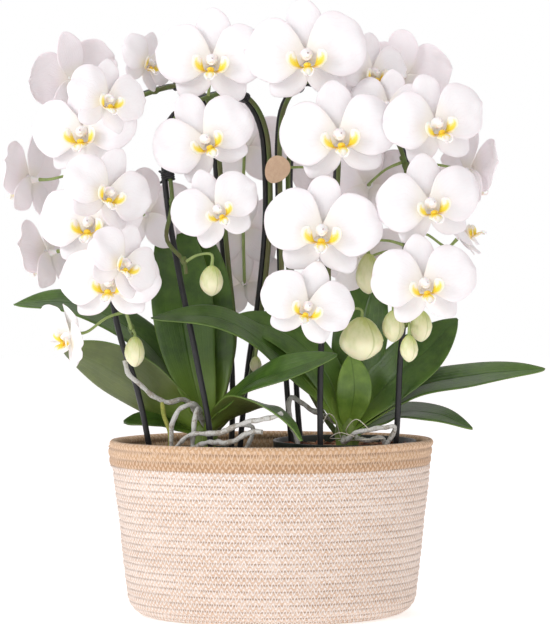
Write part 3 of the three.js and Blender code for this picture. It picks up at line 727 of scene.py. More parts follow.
hoop = {
    "radius": 2.5, "stemOffset": 5.7, "colour": (0.012, 0.012, 0.014, 1),
    "dust": (0.035, 0.036, 0.04, 1),
    "routes": {
        "left": [
            (-94, -24, 75), (-102, -30, 140), (-112, -38, 192), (-127, -46, 242), (-136, -50, 300),
            (-139, -48, 357), (-136, -42, 399), (-124, -32, 429), (-102, -20, 441), (-79, -9, 447),
            (-64, 0, 443), (-55, 8, 428), (-50, 13, 400), (-46, 17, 350), (-41, 20, 295),
            (-36, 22, 232), (-34, 22, 180), (-38, 18, 75)],
        "centreLeft": [
            (-54, -38, 75), (-51, -46, 150), (-62, -51, 217), (-77, -53, 291), (-86, -53, 345),
            (-89, -49, 385), (-85, -41, 415), (-66, -27, 432), (-46, -13, 440), (-30, 0, 441),
            (-17, 10, 430), (-9, 14, 410), (-6, 17, 375), (-6, 21, 330), (-12, 27, 266),
            (-20, 30, 214), (-26, 30, 160), (-32, 26, 75)],
        "centreRight": [
            (44, -38, 75), (40, -46, 150), (41, -52, 238), (45, -55, 291), (51, -55, 345),
            (53, -50, 390), (49, -41, 422), (38, -30, 444), (27, -19, 448), (16, -8, 442), (8, 4, 428),
            (5, 11, 405), (5, 15, 370), (6, 18, 320), (8, 20, 266), (12, 20, 200), (16, 20, 150),
            (24, 18, 75)],
        "right": [
            (96, -20, 75), (104, -26, 150), (107, -36, 221), (111, -43, 270), (112, -46, 325),
            (112, -45, 375), (105, -39, 398), (92, -29, 414), (74, -16, 424), (54, -3, 429),
            (35, 9, 426), (22, 19, 412), (16, 25, 385), (16, 28, 340), (17, 30, 275), (20, 30, 210),
            (24, 29, 150), (34, 25, 75)],
    },
    "clips": {"left": [9], "centreLeft": [4.6, 9.2], "centreRight": [8.4], "right": [10]},
    "clipTurns": 4.5, "clipWire": 1.05, "clipLength": 8.5,
}

stem = {
    "radius": 2.2, "foot": 1.12, "taper": 0.35, "dots": 130, "rise": 8,
    "stalk": 1.35, "stalkFoot": 1.25, "stalkSlimmer": 0.45, "stalkDots": 16, "behindFlower": 9,
    "bract": {"below": 5, "above": 3.2, "radii": [2.3, 2.75, 2.8, 2.5, 1.9, 0.8]},
    "green": (0.105, 0.175, 0.035, 1), "brown": (0.13, 0.10, 0.045, 1), "pale": (0.33, 0.42, 0.14, 1),
    "routes": {
        "left": {"start": [(-50.5, 2.7, 157), (-46, 8, 168), (-38, 12, 200)], "from": 15, "to": 4,
                 "lean": (0.62, -0.78, 0), "end": [(-122, -56, 262), (-116, -60, 246), (-114, -62, 238)]},
        "centreLeft": {"start": [(-46.8, -3, 156), (-36, 3, 168), (-20, 14, 196)], "from": 15, "to": 4,
                       "lean": (0.7, -0.7, 0), "end": [(-86, -62, 316), (-72, -64, 298), (-70, -64, 288)]},
        "centreRight": {"start": [(55.4, 0.4, 152), (44, 6, 168), (20, 10, 216)], "from": 14, "to": 3,
                        "lean": (0.3, -0.95, 0), "end": [(48, -64, 272), (56, -68, 256)]},
        "right": {"start": [(63, 4.6, 156), (56, 12, 176), (24, 24, 226)], "from": 14, "to": 3,
                  "lean": (-0.3, -0.95, 0), "end": [(108, -56, 258), (109, -60, 246)]},
    },
}

# Blooms of each stem: the flower's middle, then yaw, pitch and roll in degrees, then size.
# A last value, where there is one, is how far above the flower its stalk leaves the stem.
blooms = {
    "left": [
        (-166, -22, 452, 215, -10, 20, 0.95), (-104, -39, 463, 50, 0, 20, 0.66),
        (-131, -114, 426, 33, 0, 8, 0.78, 18), (-152, -84, 402, -12, 0, -3, 0.98, -8),
        (-130, -122, 352, 30, 0, 18, 0.86), (-200, -42, 366, -115, 0, -10, 0.95),
        (-146, -92, 329, -10, 0, -3, 0.98, -16), (-117, -135, 296, 40, 0, 26, 0.78),
        (-184, -50, 305, -118, 10, 0, 0.95), (-106, -20, 338, 170, 0, 0, 0.95),
        (-129, -106, 281, -6, 0, 0, 0.93, -34), (-163, -78, 238, -50, 10, 25, 0.72)],
    "centreLeft": [
        (-49, -62, 462, -2, 0, 2, 1.04), (-54, -84, 396, 6, 0, -26, 0.96),
        (-44, -100, 339, 10, 0, -26, 0.82)],
    "centreRight": [
        (28, -70, 465, 0, 0, -4, 1.12), (54, -88, 399, 2, 0, -8, 1.08), (40, -102, 322, -2, 0, 2, 1.08),
        (28, -112, 262, 4, 0, 16, 0.86), (57, 42, 374, 180, 0, 0, 0.9)],
    "right": [
        (82, -46, 454, 30, 0, 0, 0.8), (112, 2, 457, 160, -10, -2, 0.95), (95, -62, 425, -10, 0, 10, 0.74),
        (132, -82, 409, 16, 0, -14, 0.98), (163, -38, 373, 120, 10, 0, 0.95),
        (126, -95, 344, 12, 0, -10, 0.99), (81, -34, 362, 176, 0, 0, 0.95), (78, -30, 300, 174, 0, 0, 0.9),
        (158, -44, 321, 75, -40, 0, 0.72), (121, -106, 280, 6, 0, -8, 0.96)],
}

backSpray = {
    "blooms": [
        (-24, 44, 398, 178, 0, 0, 1.0), (-26, 45, 327, 184, 0, 0, 1.0), (-24, 48, 280, 176, 0, 10, 0.8)],
    "line": [(-24, 36, 400), (-25, 37, 360), (-25, 38, 320), (-24, 42, 278)],
}

# Buds of each stem: the bud's middle, its half length and its radius, and how far it has opened
buds = {
    "left": [(-112, -66, 225, 12, 8.2, 0)],
    "centreLeft": [(-49, -72, 283, 12, 9.5, 0), (-14, 17, 211, 7, 5, 0)],
    "centreRight": [(73, -72, 236, 17, 16, 1)],
    "right": [(99, -72, 246, 12.5, 9, 0), (122, -62, 246, 12.5, 9, 0), (111, -82, 228, 10.5, 7.2, 0),
              (79, -62, 289, 16, 9.5, 1)],
}


def beside(side):
    points = [Vector(point) for point in hoop["routes"][side]]
    route = stem["routes"][side]
    line = []
    for i in range(route["from"], route["to"] - 1, -1):
        along = (points[min(i + 1, len(points) - 1)] - points[i - 1]).normalized()
        lean = Vector(route["lean"])
        offset = (lean - along * lean.dot(along)).normalized()
        line.append(points[i] + offset * hoop["stemOffset"])
    return [Vector(p) for p in route["start"]] + line + [Vector(p) for p in route["end"]]


def nearest(line, target):
    best = line[0]
    for a, b in zip(line, line[1:]):
        share = min(1, max(0, (target - a).dot(b - a) / (b - a).length_squared))
        point = a.lerp(b, share)
        if (point - target).length < (best - target).length:
            best = point
    return best


# A black clip: wire wound round rod and stem, with two bent ends
def clipLines(points, stemPoints, station):
    low = int(station)
    along = (points[low + 1] - points[low - 1]).normalized()
    point = points[low].lerp(points[low + 1], station - low)
    near = nearest(stemPoints, point)
    middle, apart = (point + near) / 2, near - point
    out = apart.normalized()
    side = along.cross(out)
    wide, narrow = apart.length / 2 + stem["radius"] + 0.9, hoop["radius"] + 1.0
    line, count = [], 64
    for k in range(count + 1):
        angle = 2 * math.pi * hoop["clipTurns"] * k / count
        shift = hoop["clipLength"] * (k / count - 0.5)
        ring = out * wide * math.cos(angle) + side * narrow * math.sin(angle)
        line.append(middle + ring + along * shift)
    coil = (line, evenRadii(line, hoop["clipWire"]))
    ears = []
    for sign in (1, -1):
        root = middle + along * 3.5 * sign - out * wide * 0.8
        ear = smoothLine([root, root - out * 3 + side * 1.5, root - out * 5.5 + along * 1.5 * sign], 7)
        ears.append((ear, evenRadii(ear, 1.1)))
    return [coil] + ears


def makeHoop(side, plastic):
    points = [Vector(point) for point in hoop["routes"][side]]
    line = smoothLine(points, 110)
    lines = [(line, evenRadii(line, hoop["radius"]))]
    for station in hoop["clips"][side]:
        lines += clipLines(points, beside(side), station)
    piece = rods("hoopAndClips_" + side, lines, 4)
    piece.data.materials.append(plastic)
    settle(piece, ["hoop_" + side])


def bloomMatrix(placement):
    x, y, z, yaw, pitch, roll, size = placement[:7]
    turn = Matrix.Rotation(math.radians(yaw), 4, "Z") @ Matrix.Rotation(math.radians(pitch), 4, "X")
    turn = turn @ Matrix.Rotation(math.radians(roll), 4, "Y")
    return Matrix.Translation((x, y, z)) @ turn @ Matrix.Scale(size, 4)


def stalkLine(line, end, back, rise):
    start = nearest(line, end + Vector((0, 0, rise)))
    reach = min(10, (start - end).length * 0.4)
    approach = end + back * reach
    middle = start.lerp(approach, 0.5) + Vector((0, 0, reach * 0.3))
    return smoothLine([start, middle, approach, end], stem["stalkDots"])


def makeStem(side, skins):
    line = beside(side)
    smooth = smoothLine(line, stem["dots"])
    last = stem["dots"] - 1
    radii = [stem["radius"] * (stem["foot"] - stem["taper"] * k / last) for k in range(stem["dots"])]
    stalks, bracts, ends = [], [], []
    for placement in blooms[side] + (backSpray["blooms"][:1] if side == "left" else []):
        place = bloomMatrix(placement)
        back = (place.to_3x3() @ Vector((0, 1, 0))).normalized()
        rise = placement[7] if len(placement) > 7 else stem["rise"]
        ends.append((place @ Vector((0, stem["behindFlower"], 0)), back, rise))
    for bud in buds[side]:
        ends.append((Vector((bud[0], bud[1], bud[2] + bud[3] * 0.9)), Vector((0, 0, 1)), stem["rise"]))
    for end, back, rise in ends:
        stalk = stalkLine(line, end, back, rise)
        slimmer = [math.sin(math.pi * k / (len(stalk) - 1)) ** 0.5 for k in range(len(stalk))]
        radiusShares = [stem["stalkFoot"] - stem["stalkSlimmer"] * share for share in slimmer]
        stalks.append((stalk, [stem["stalk"] * share for share in radiusShares]))
        heading = (nearest(line, stalk[0] + Vector((0, 0, -6))) - stalk[0]).normalized()
        bract = stem["bract"]
        above = stalk[0] + (stalk[2] - stalk[0]).normalized() * bract["above"]
        leaf = smoothLine([stalk[0] - heading * bract["below"], stalk[0], above], len(bract["radii"]))
        bracts.append((leaf, bract["radii"]))
    rodPart = rods("stem", [(smooth, radii)] + bracts, 4)
    rodPart.data.materials.append(skins[0])
    stalkPart = rods("stalks", stalks, 3)
    stalkPart.data.materials.append(skins[1])
    piece = joined("flowerStem_" + side, [rodPart, stalkPart])
    settle(piece, ["stem_" + side])


hoopPlastic = cloudyFinish(
    "hoopPlastic", {"Specular IOR Level": 0.45}, hoop["colour"], hoop["dust"], 0.3,
    (90.0, evenly), (1.0, (900, 900, 60)), 0.00012, 0.5, gloss=(0.3, 0.5))
fleshy = {"Roughness": 0.42, "Specular IOR Level": 0.45, "Subsurface Weight": 0.08,
          "Subsurface Scale": 0.002, "Subsurface Radius": (0.5, 0.8, 0.2)}
stemSkins = []
for name, main, other, share in (("stemSkin", "green", "brown", 0.75), ("stalkSkin", "pale", "green", 0.45)):
    stemSkins.append(cloudyFinish(
        name, fleshy, stem[main], stem[other], share,
        (130.0, (1, 1, 0.3)), (700.0, evenly), 0.00025, 0.4))
for side in hoop["routes"]:
    makeHoop(side, hoopPlastic)
    makeStem(side, stemSkins)
print("stage: hoops, clips and flower stems made")


# Blooms: two broad petals, three sepals, a lobed lip and a column

flower = {
    "petal": {"length": 45, "upper": 25.5, "lower": 22.5, "widest": 0.5, "claw": 0.13, "blunt": 0.5,
              "forward": 1.5, "arch": 3.5, "curl": 4, "ruffle": 2.6},
    "dorsal": {"length": 43, "upper": 14, "lower": 14, "widest": 0.55, "claw": 0.25, "blunt": 0.62,
               "forward": -1, "arch": -2, "curl": 1.5, "ruffle": 1.4},
    "sepal": {"length": 38.5, "upper": 13.5, "lower": 13.5, "widest": 0.5, "claw": 0.25, "blunt": 0.72,
              "forward": -1, "arch": -2, "curl": 1.5, "ruffle": 1.6},
    "sideLobe": {"length": 18, "upper": 6.0, "lower": 6.0, "widest": 0.6, "claw": 0.42, "blunt": 0.5,
                 "cup": 3.4,
                 "route": [(2, -4, -8.5), (6.6, -7.5, -8.5), (9.6, -11, -3.5), (9.0, -13.5, 3.5)],
                 "across": (0.62, -0.72, 0.05)},
    "midLobe": {"length": 18, "upper": 5.6, "lower": 5.6, "widest": 0.5, "claw": 0.5, "blunt": 0.7,
                "cup": -2.6,
                "route": [(0, -5, -8), (0, -11.5, -10.5), (0, -17, -12), (0, -19.5, -16.5)],
                "across": (1, 0, 0)},
    "column": {"line": [(0, 9, 0), (0, 3, 0), (0, -2, 0.6), (0, -7, 0.4), (0, -11, -1.2)],
               "radii": [1.9, 2.1, 2.9, 4.1, 4.6, 4.8, 4.5, 3.2]},
    "cap": {"place": (0, -11.4, 0.0), "size": (3.2, 2.2, 2.6)},
    "anther": {"place": (1.0, -13.3, 0.9), "size": (0.75, 0.5, 0.75)},
    "callus": {"place": (0, -10.6, -7.6), "size": (3.0, 2.2, 2.0)},
    "tendril": [(0.6, -18.5, -16.5), (2.6, -21.2, -16), (4.2, -20.5, -12.5), (3.2, -18.2, -11)],
    "thickness": 0.9,
    "variants": [{"lift": (13, 9), "spread": (41, 44), "seed": 1.0},
                 {"lift": (8, 8), "spread": (47, 45), "seed": 5.0},
                 {"lift": (10, 16), "spread": (39, 43), "seed": 9.0}],
    "unlike": {"span": 22, "depth": 3.4, "sideways": 2.4},
    "waxy": [("column", "column", "columnTint", 160.0), ("cap", "columnTint", "column", 260.0),
             ("callus", "orange", "yellow", 420.0), ("anther", "anther", "columnTint", 900.0)],
    "young": {"bend": 17, "node": "bloom_left_12"},
}

petalFinish = {
    # the warm cream at the throat is partly the petal's own tint and partly painted shade beside the lip
    "white": (0.93, 0.915, 0.93, 1), "blush": (0.88, 0.79, 0.825, 1), "throatShade": (0.90, 0.85, 0.76, 1),
    # the petal backs are pinker than the fronts: partly their own pink, partly painted warm shade
    "back": (0.95, 0.90, 0.93, 1), "backDeepTintAndShade": (0.93, 0.82, 0.86, 1), "young": (0.66, 0.70, 0.36, 1),
    "lip": (0.94, 0.92, 0.86, 1), "yellow": (0.94, 0.74, 0.06, 1), "orange": (0.92, 0.52, 0.03, 1),
    "streak": (0.62, 0.16, 0.03, 1), "column": (0.96, 0.94, 0.92, 1), "columnTint": (0.93, 0.86, 0.86, 1),
    "anther": (0.30, 0.20, 0.18, 1),
}


def bladeWidth(u, widest, claw, blunt):
    if u < widest:
        return claw + (1 - claw) * math.sin(math.pi / 2 * u / widest)
    t = (u - widest) / (1 - widest)
    return max(0, 1 - t * t) ** blunt


# How far the blade's outline lies from its middle, for directions all round
def outlineOf(form):
    dots, steps = [], 48
    for k in range(steps + 1):
        u = k / steps
        width = bladeWidth(u, form["widest"], form["claw"], form["blunt"])
        for half in (form["upper"] * width, -form["lower"] * width):
            along = (u - 0.5) * form["length"]
            dots.append((math.atan2(half, along), math.hypot(half, along)))
    dots.sort()
    return [(dots[-1][0] - 2 * math.pi, dots[-1][1])] + dots + [(dots[0][0] + 2 * math.pi, dots[0][1])]


def radiusToward(outline, angle):
    for (a, near), (b, far) in zip(outline, outline[1:]):
        if a <= angle <= b:
            return near + (far - near) * (angle - a) / max(1e-9, b - a)
    return outline[0][1]


# A blade: a flat grid drawn into the outline, laid on its surface, thickened and rounded
def blade(name, form, place, cells, finishes, flip=False):
    piece = gridPiece(name, cells, cells)
    outline = outlineOf(form)

    def spot(x, y):
        a, b = x * math.sqrt(1 - y * y / 2), y * math.sqrt(1 - x * x / 2)
        reach = math.hypot(a, b) * radiusToward(outline, math.atan2(b, a))
        angle = math.atan2(b, a)
        along, across = reach * math.cos(angle) + form["length"] / 2, reach * math.sin(angle)
        u = min(1, max(0, along / form["length"]))
        side = form["upper"] if across > 0 else form["lower"]
        half = side * bladeWidth(u, form["widest"], form["claw"], form["blunt"])
        v = min(1, max(-1, across / max(half, 0.6)))
        return place(u, v, along, across), (u, 0.5 + 0.5 * v)

    shapedGrid(piece, spot)
    if flip:
        makeActive(piece)
        startEdit()
        bpy.ops.mesh.flip_normals()
        endEdit()
    for finish in finishes:
        piece.data.materials.append(finish)
    thickened(piece, flower["thickness"])
    return piece


def petal(form, degrees, mirror, seed, cells, finishes):
    angle = math.radians(degrees)
    along = Vector((mirror * math.cos(angle), 0, math.sin(angle)))
    across = Vector((-mirror * math.sin(angle), 0, math.cos(angle)))

    def place(u, v, a, b):
        depth = -form["forward"] - form["arch"] * math.sin(math.pi * u) + form["curl"] * v * v * u
        spot = Vector((a / 15, b / 13, seed + mirror * 3))
        depth += form["ruffle"] * noise.noise(spot) * min(1, u * 1.6)
        return along * a + across * b + Vector((0, depth, 0))

    return blade("petal", form, place, cells, finishes, flip=mirror < 0)


def lobe(form, mirror, finishes):
    line = smoothLine([(mirror * x, y, z) for x, y, z in form["route"]], 24)
    across = Vector((mirror * form["across"][0], *form["across"][1:])).normalized()

    def place(u, v, a, b):
        along = directionAt(line, u)
        face = along.cross(across).normalized() * mirror
        return pointAt(line, u) + across * b + face * (form["cup"] * (v * v - 0.4))

    return blade("lobe", form, place, 6, finishes, flip=mirror < 0)


def ball(name, place, size, segments):
    deselectAll()
    bpy.ops.mesh.primitive_uv_sphere_add(segments=segments, ring_count=segments // 2, radius=1)
    piece = bpy.context.object
    piece.name = name
    startEdit()
    bpy.ops.transform.resize(value=size)
    bpy.ops.transform.translate(value=place)
    endEdit()
    smoothed(piece, 80)
    return piece


# Petal skin: veins that fan from the claw, a warm cream towards the claw that is partly the petal's own tint
# and partly painted shade beside the lip, and a faint blush at the edge
def makePetalSkin(name, main, edge, claw, veinShade):
    s = Finish(name, {
        "Roughness": 0.5, "Specular IOR Level": 0.3, "Sheen Weight": 0.08, "Subsurface Weight": 0.22,
        "Subsurface Scale": 0.004, "Subsurface Radius": (1.0, 0.72, 0.7)})
    uv = s.uv()
    along = s.split(uv)[0]
    lines = s.veined(uv, 44.0, 0.16)
    rim, tip = s.ranged(lines["Across"], 0.36, 0.5), s.ranged(along, 0.86, 1.0)
    blush = s.plus(s.times(s.maths("MAXIMUM", rim, tip), 0.4), s.times(s.cloud(uv, 2.2), 0.25))
    skin = s.blended(blush, main, edge)
    skin = s.blended(s.times(lines["Lines"], veinShade), skin, edge)
    # the claw colour laid on towards the claw; on the white skins this warm cream is partly painted shade
    # beside the lip
    skin = s.blended(s.ranged(along, 0.06, 0.4, 0.85, 0.0), skin, claw)
    crystal = s.speckle(s.stretched(uv, (60, 60, 1)), 1.0)
    return s.surface(skin, s.minus(s.times(crystal, 0.4), lines["Lines"]), 0.00022, 0.35)


# Lip skin: a yellow cup with a white rim and tip, an orange foot and fine red streaks
def makeLipSkin():
    f = petalFinish
    s = Finish("lipSkin", {"Roughness": 0.4, "Specular IOR Level": 0.4, "Subsurface Weight": 0.15,
                           "Subsurface Scale": 0.002})
    uv = s.uv()
    along = s.split(uv)[0]
    shifted = s.plus(along, s.times(s.cloud(uv, 3.0), 0.22))
    yellow = s.times(s.ranged(shifted, 0.66, 1.0, 1.0, 0.0), s.ranged(shifted, 0.06, 0.2))
    lines = s.veined(uv, 30.0, 0.1)
    edge = s.ranged(lines["Across"], 0.26, 0.46)
    yellow = s.times(yellow, s.minus(1.0, s.times(edge, 0.85)))
    skin = s.blended(yellow, f["lip"], f["yellow"])
    skin = s.blended(s.ranged(along, 0.08, 0.34, 0.5, 0.0), skin, f["orange"])
    streaks = s.times(lines["Lines"], s.ranged(along, 0.15, 0.7, 0.5, 0.0))
    return s.surface(s.blended(streaks, skin, f["streak"]), lines["Lines"], 0.0002, 0.4)


def makeBloomMaster(variant, skins):
    f = flower
    seed = variant["seed"]
    parts = []
    for mirror, lift, spread in zip((1, -1), variant["lift"], variant["spread"]):
        parts.append(petal(f["petal"], lift, mirror, seed, 12, skins["petal"]))
        parts.append(petal(f["sepal"], spread - 90, mirror, seed + 20, 9, skins["petal"]))
        parts.append(lobe(f["sideLobe"], mirror, skins["lip"]))
    parts.append(petal(f["dorsal"], 90, 1, seed + 40, 9, skins["petal"]))
    parts.append(lobe(f["midLobe"], 1, skins["lip"]))
    tendrils = []
    for mirror in (1, -1):
        line = smoothLine([(mirror * x, y, z) for x, y, z in f["tendril"]], 9)
        tendrils.append((line, [0.75 - 0.05 * k for k in range(9)]))
    parts.append(rods("tendrils", tendrils, 1))
    line = smoothLine(f["column"]["line"], 8)
    parts.append(rods("column", [(line, f["column"]["radii"])], 3))
    for part in parts[-2:]:
        part.data.materials.append(skins["column"])
    for name, segments in (("cap", 14), ("anther", 8), ("callus", 10)):
        parts.append(ball(name, f[name]["place"], f[name]["size"], segments))
        parts[-1].data.materials.append(skins[name])
    whole = joined("bloomMaster", parts)
    smoothed(whole, 180)
    return whole


# Each bloom's own slight bend, so that no two are alike
def bent(piece, seed, bend):
    f = flower["unlike"]
    for vertex in piece.data.vertices:
        x, y, z = vertex.co
        reach = math.hypot(x, z) / flower["petal"]["length"]
        spot = Vector((x / f["span"], z / f["span"], seed * 7.3))
        y += (f["depth"] * noise.noise(spot) - bend) * reach * reach
        x += f["sideways"] * noise.noise(spot * 1.3 + Vector((5, 0, 0))) * reach
        z += f["sideways"] * noise.noise(spot * 1.3 + Vector((0, 5, 0))) * reach
        vertex.co = Vector((x, y, z))


def placeBloom(name, node, placement, master, seed, bend=0.0):
    piece = master.copy()
    piece.data = master.data.copy()
    piece.name = name
    bpy.context.scene.collection.objects.link(piece)
    bent(piece, seed, bend)
    piece.data.transform(bloomMatrix(placement))
    settle(piece, [node])
    return piece


def makeBlooms():
    f = petalFinish
    front = makePetalSkin("petalFront", f["white"], f["blush"], f["throatShade"], 0.16)
    # the back faces take a pinker copy of the petal skin, partly the petals' own pink and partly painted
    # warm shade
    back = makePetalSkin("petalBackTintAndShade", f["back"], f["backDeepTintAndShade"], f["throatShade"], 0.22)
    youngBack = makePetalSkin("petalYoungBack", f["back"], f["young"], f["young"], 0.5)
    lip = makeLipSkin()
    skins = {"petal": [front, back], "lip": [lip, lip]}
    waxy = {"Roughness": 0.35, "Specular IOR Level": 0.45, "Subsurface Weight": 0.15,
            "Subsurface Scale": 0.002}
    for name, main, tint, scale in flower["waxy"]:
        skins[name] = cloudyFinish(name + "Skin", waxy, f[main], f[tint], 1.0, (scale, evenly),
                                   (scale * 5, evenly), 0.0002, 0.4)
    masters = [makeBloomMaster(variant, skins) for variant in flower["variants"]]
    count = 0
    for side, placements in blooms.items():
        for i, placement in enumerate(placements):
            node = f"bloom_{side}_{i + 1}"
            young = node == flower["young"]["node"]
            bend = flower["young"]["bend"] if young else 0.0
            piece = placeBloom(f"flower_{side}_{i + 1}", node, placement, masters[count % 3], count, bend)
            if young:
                piece.data.materials[1] = youngBack
            count += 1
    for i, placement in enumerate(backSpray["blooms"]):
        placeBloom(f"flower_back_{i + 1}", "bloom_spray_back", placement, masters[count % 3], count)
        count += 1
    for master in masters:
        bpy.data.objects.remove(master, do_unlink=True)
    line = smoothLine(backSpray["line"], 24)
    sprayStem = rods("flower_back_stem", [(line, evenRadii(line, 1.4))], 3)
    sprayStem.data.materials.append(stemSkins[1])
    settle(sprayStem, ["bloom_spray_back"])


makeBlooms()
print("stage: blooms made")


# Buds: an egg drawn to a blunt tip, with three overlapping sepals

budForm = {
    "green": (0.50, 0.58, 0.17, 1), "cream": (0.84, 0.82, 0.56, 1), "seam": (0.36, 0.42, 0.12, 1),
    "segments": 48, "rings": 22, "overlap": 0.07, "lean": 0.9,
}


def makeBudSkin():
    f = budForm
    s = Finish("budSkin", {"Roughness": 0.42, "Specular IOR Level": 0.4, "Subsurface Weight": 0.15,
                           "Subsurface Scale": 0.003})
    uv = s.uv()
    split = s.split(uv)
    around, up = split[0], split[1]
    rise = s.plus(up, s.times(s.cloud(s.stretched(uv, (6, 2, 1)), 1.0), 0.25))
    skin = s.blended(s.ranged(rise, 0.35, 1.1), f["cream"], f["green"])
    fold = s.maths("FRACT", s.times(around, 3.0))
    seam = s.maths("MAXIMUM", s.ranged(fold, 0.0, 0.05, 1.0, 0.0), s.ranged(fold, 0.97, 1.0))
    skin = s.blended(s.times(seam, 0.55), skin, f["seam"])
    ribs = s.absolute(s.maths("SINE", s.times(around, 75.0)))
    height = s.minus(s.times(ribs, 0.3), s.absolute(s.minus(up, 0.5)))
    return s.surface(skin, height, 0.0003, 0.4)


def makeBud(name, node, bud, skin, seed):
    x, y, z, halfLength, radius, opened = bud
    f = budForm
    deselectAll()
    bpy.ops.mesh.primitive_uv_sphere_add(segments=f["segments"], ring_count=f["rings"], calc_uvs=True)
    piece = bpy.context.object
    piece.name = name
    piece.data.uv_layers[0].name = "UVMap"
    for vertex in piece.data.vertices:
        a, b, c = vertex.co
        angle = math.atan2(b, a)
        ring = math.hypot(a, b)
        share = (angle / (2 * math.pi) * 3 + (1 - c) * 0.12 * f["lean"]) % 1
        ridge = 1 + f["overlap"] * (1 + 0.7 * opened) * (share - 0.35) * (1 - abs(c) ** 3)
        low = min(1, max(0, 0.5 - 0.8 * c))
        full = 1 - 0.16 * c - 0.12 * max(0, -c) ** 2 + 0.12 * opened * low * low * (3 - 2 * low)
        lump = 1 + 0.05 * noise.noise(Vector((a * 1.5, b * 1.5, c + seed)))
        reach = radius * full * ridge * lump
        drop = c - 0.10 * max(0, -c) ** 4 * (1 - ring)
        vertex.co = Vector((x + a * reach, y + b * reach, z + drop * halfLength))
    smoothed(piece, 45)
    piece.data.materials.append(skin)
    settle(piece, [node])


budSkin = makeBudSkin()
for side, ofStem in buds.items():
    for i, bud in enumerate(ofStem):
        makeBud(f"bud_{side}_{i + 1}", "stem_" + side, bud, budSkin, i * 2.7)
print("stage: buds made")


# Leaves: thick straps that fold along the midrib, each on its own line

foliage = {
    "left": [
        {"route": [(-60, -10, 154), (-108, -12, 190), (-144, -20, 212), (-177, -26, 229)],
         "half": 29, "face": (0.35, 0.8, 0.5), "fold": 0.2},
        {"route": [(-57, -8, 158), (-110, 0, 232), (-170, -10, 262), (-217, -20, 262)],
         "half": 22, "face": (0.3, -0.6, 0.9), "fold": 0.25},
        {"route": [(-54, -14, 154), (-24, -52, 181), (-4, -80, 181), (14, -94, 168), (24, -99, 154)],
         "half": 20, "face": (0.2, 0.1, 1), "fold": 0.15},
        {"route": [(-54, -10, 158), (-26, -44, 190), (7, -72, 208), (53, -82, 222)],
         "half": 19, "face": (-0.2, -0.7, 1), "fold": 0.25},
        {"route": [(-56, -4, 160), (-68, -10, 206), (-76, -16, 258), (-80, -14, 300), (-87, -6, 346)],
         "half": 27, "face": (0.3, -1, 0.1), "fold": 0.25},
        {"route": [(-53, -2, 162), (-52, 2, 205), (-56, 2, 257), (-60, 4, 301), (-66, 10, 334)],
         "half": 24, "face": (-0.1, -1, 0.1), "fold": 0.2},
    ],
    "right": [
        {"route": [(64, -10, 148), (104, -4, 170), (138, -22, 169), (167, -38, 160)],
         "half": 17, "face": (0, -0.4, 1), "fold": 0.2},
        {"route": [(66, -6, 152), (118, -12, 190), (171, -18, 202), (229, -24, 208)],
         "half": 17, "face": (-0.1, -0.7, 1), "fold": 0.25},
        {"route": [(62, -10, 152), (34, -24, 192), (-2, -38, 227), (-47, -69, 252), (-98, -78, 252)],
         "half": 18, "face": (0.2, -0.8, 1), "fold": 0.25},
        {"route": [(66, -4, 156), (95, -8, 192), (129, -10, 222), (157, -8, 250)],
         "half": 25, "face": (-0.4, -0.9, 0.5), "fold": 0.25},
        {"route": [(62, -6, 156), (46, -16, 203), (20, -24, 232), (-14, -28, 247), (-38, -28, 250)],
         "half": 19, "face": (0.1, -0.9, 0.7), "fold": 0.2},
        {"route": [(66, 0, 160), (74, 8, 223), (81, 14, 262), (94, 18, 292)],
         "half": 24, "face": (-0.2, -1, 0.1), "fold": 0.2},
    ],
    "small": {
        "left": {"route": [(-60, -6, 150), (-93, -6, 165), (-125, -14, 163)],
                 "half": 15, "face": (0, -0.5, 1), "fold": 0.2},
        "right": {"route": [(64, -8, 158), (69, -22, 193), (66, -22, 221)],
                  "half": 15, "face": (0, -1, 0.2), "fold": 0.3},
    },
    "along": 30, "across": 10, "thickness": 1.7, "softness": 2.6, "droop": 0.06, "wave": 2.2,
    "widest": 0.55, "claw": 0.25, "blunt": 0.78,
    "top": (0.030, 0.075, 0.009, 1), "topLight": (0.085, 0.175, 0.018, 1), "under": (0.125, 0.165, 0.035, 1),
    "underDeep": (0.075, 0.105, 0.024, 1), "base": (0.24, 0.38, 0.055, 1), "rim": (0.17, 0.26, 0.05, 1),
}


def makeLeafSkin(name, main, light, groove):
    f = foliage
    s = Finish(name, {"Specular IOR Level": 0.5, "Subsurface Weight": 0.05, "Subsurface Scale": 0.001})
    uv = s.uv()
    where = s.where()
    lines = s.veined(uv, 34.0, 0.04)
    cloud, fine = s.cloud(where, 26.0), s.cloud(where, 420.0)
    skin = s.blended(s.plus(s.times(cloud, 0.7), s.times(fine, 0.12)), main, light)
    skin = s.blended(s.times(lines["Lines"], 0.10), skin, light)
    rib = s.ranged(lines["Across"], 0.0, 0.035, 1.0, 0.0)
    skin = s.blended(s.times(rib, 0.45 * groove), skin, f["top"])
    rim = s.ranged(lines["Across"], 0.482, 0.5)
    skin = s.blended(s.times(rim, 0.6), skin, f["rim"])
    skin = s.blended(s.ranged(s.split(uv)[0], 0.04, 0.38, 0.9, 0.0), skin, f["base"])
    s.drive({"Roughness": s.plus(s.times(cloud, 0.12), 0.28)})
    height = s.minus(s.times(fine, 0.25), s.times(lines["Lines"], 0.35))
    return s.surface(skin, s.minus(height, s.times(rib, 1.6 * groove)), 0.0005, 0.4)


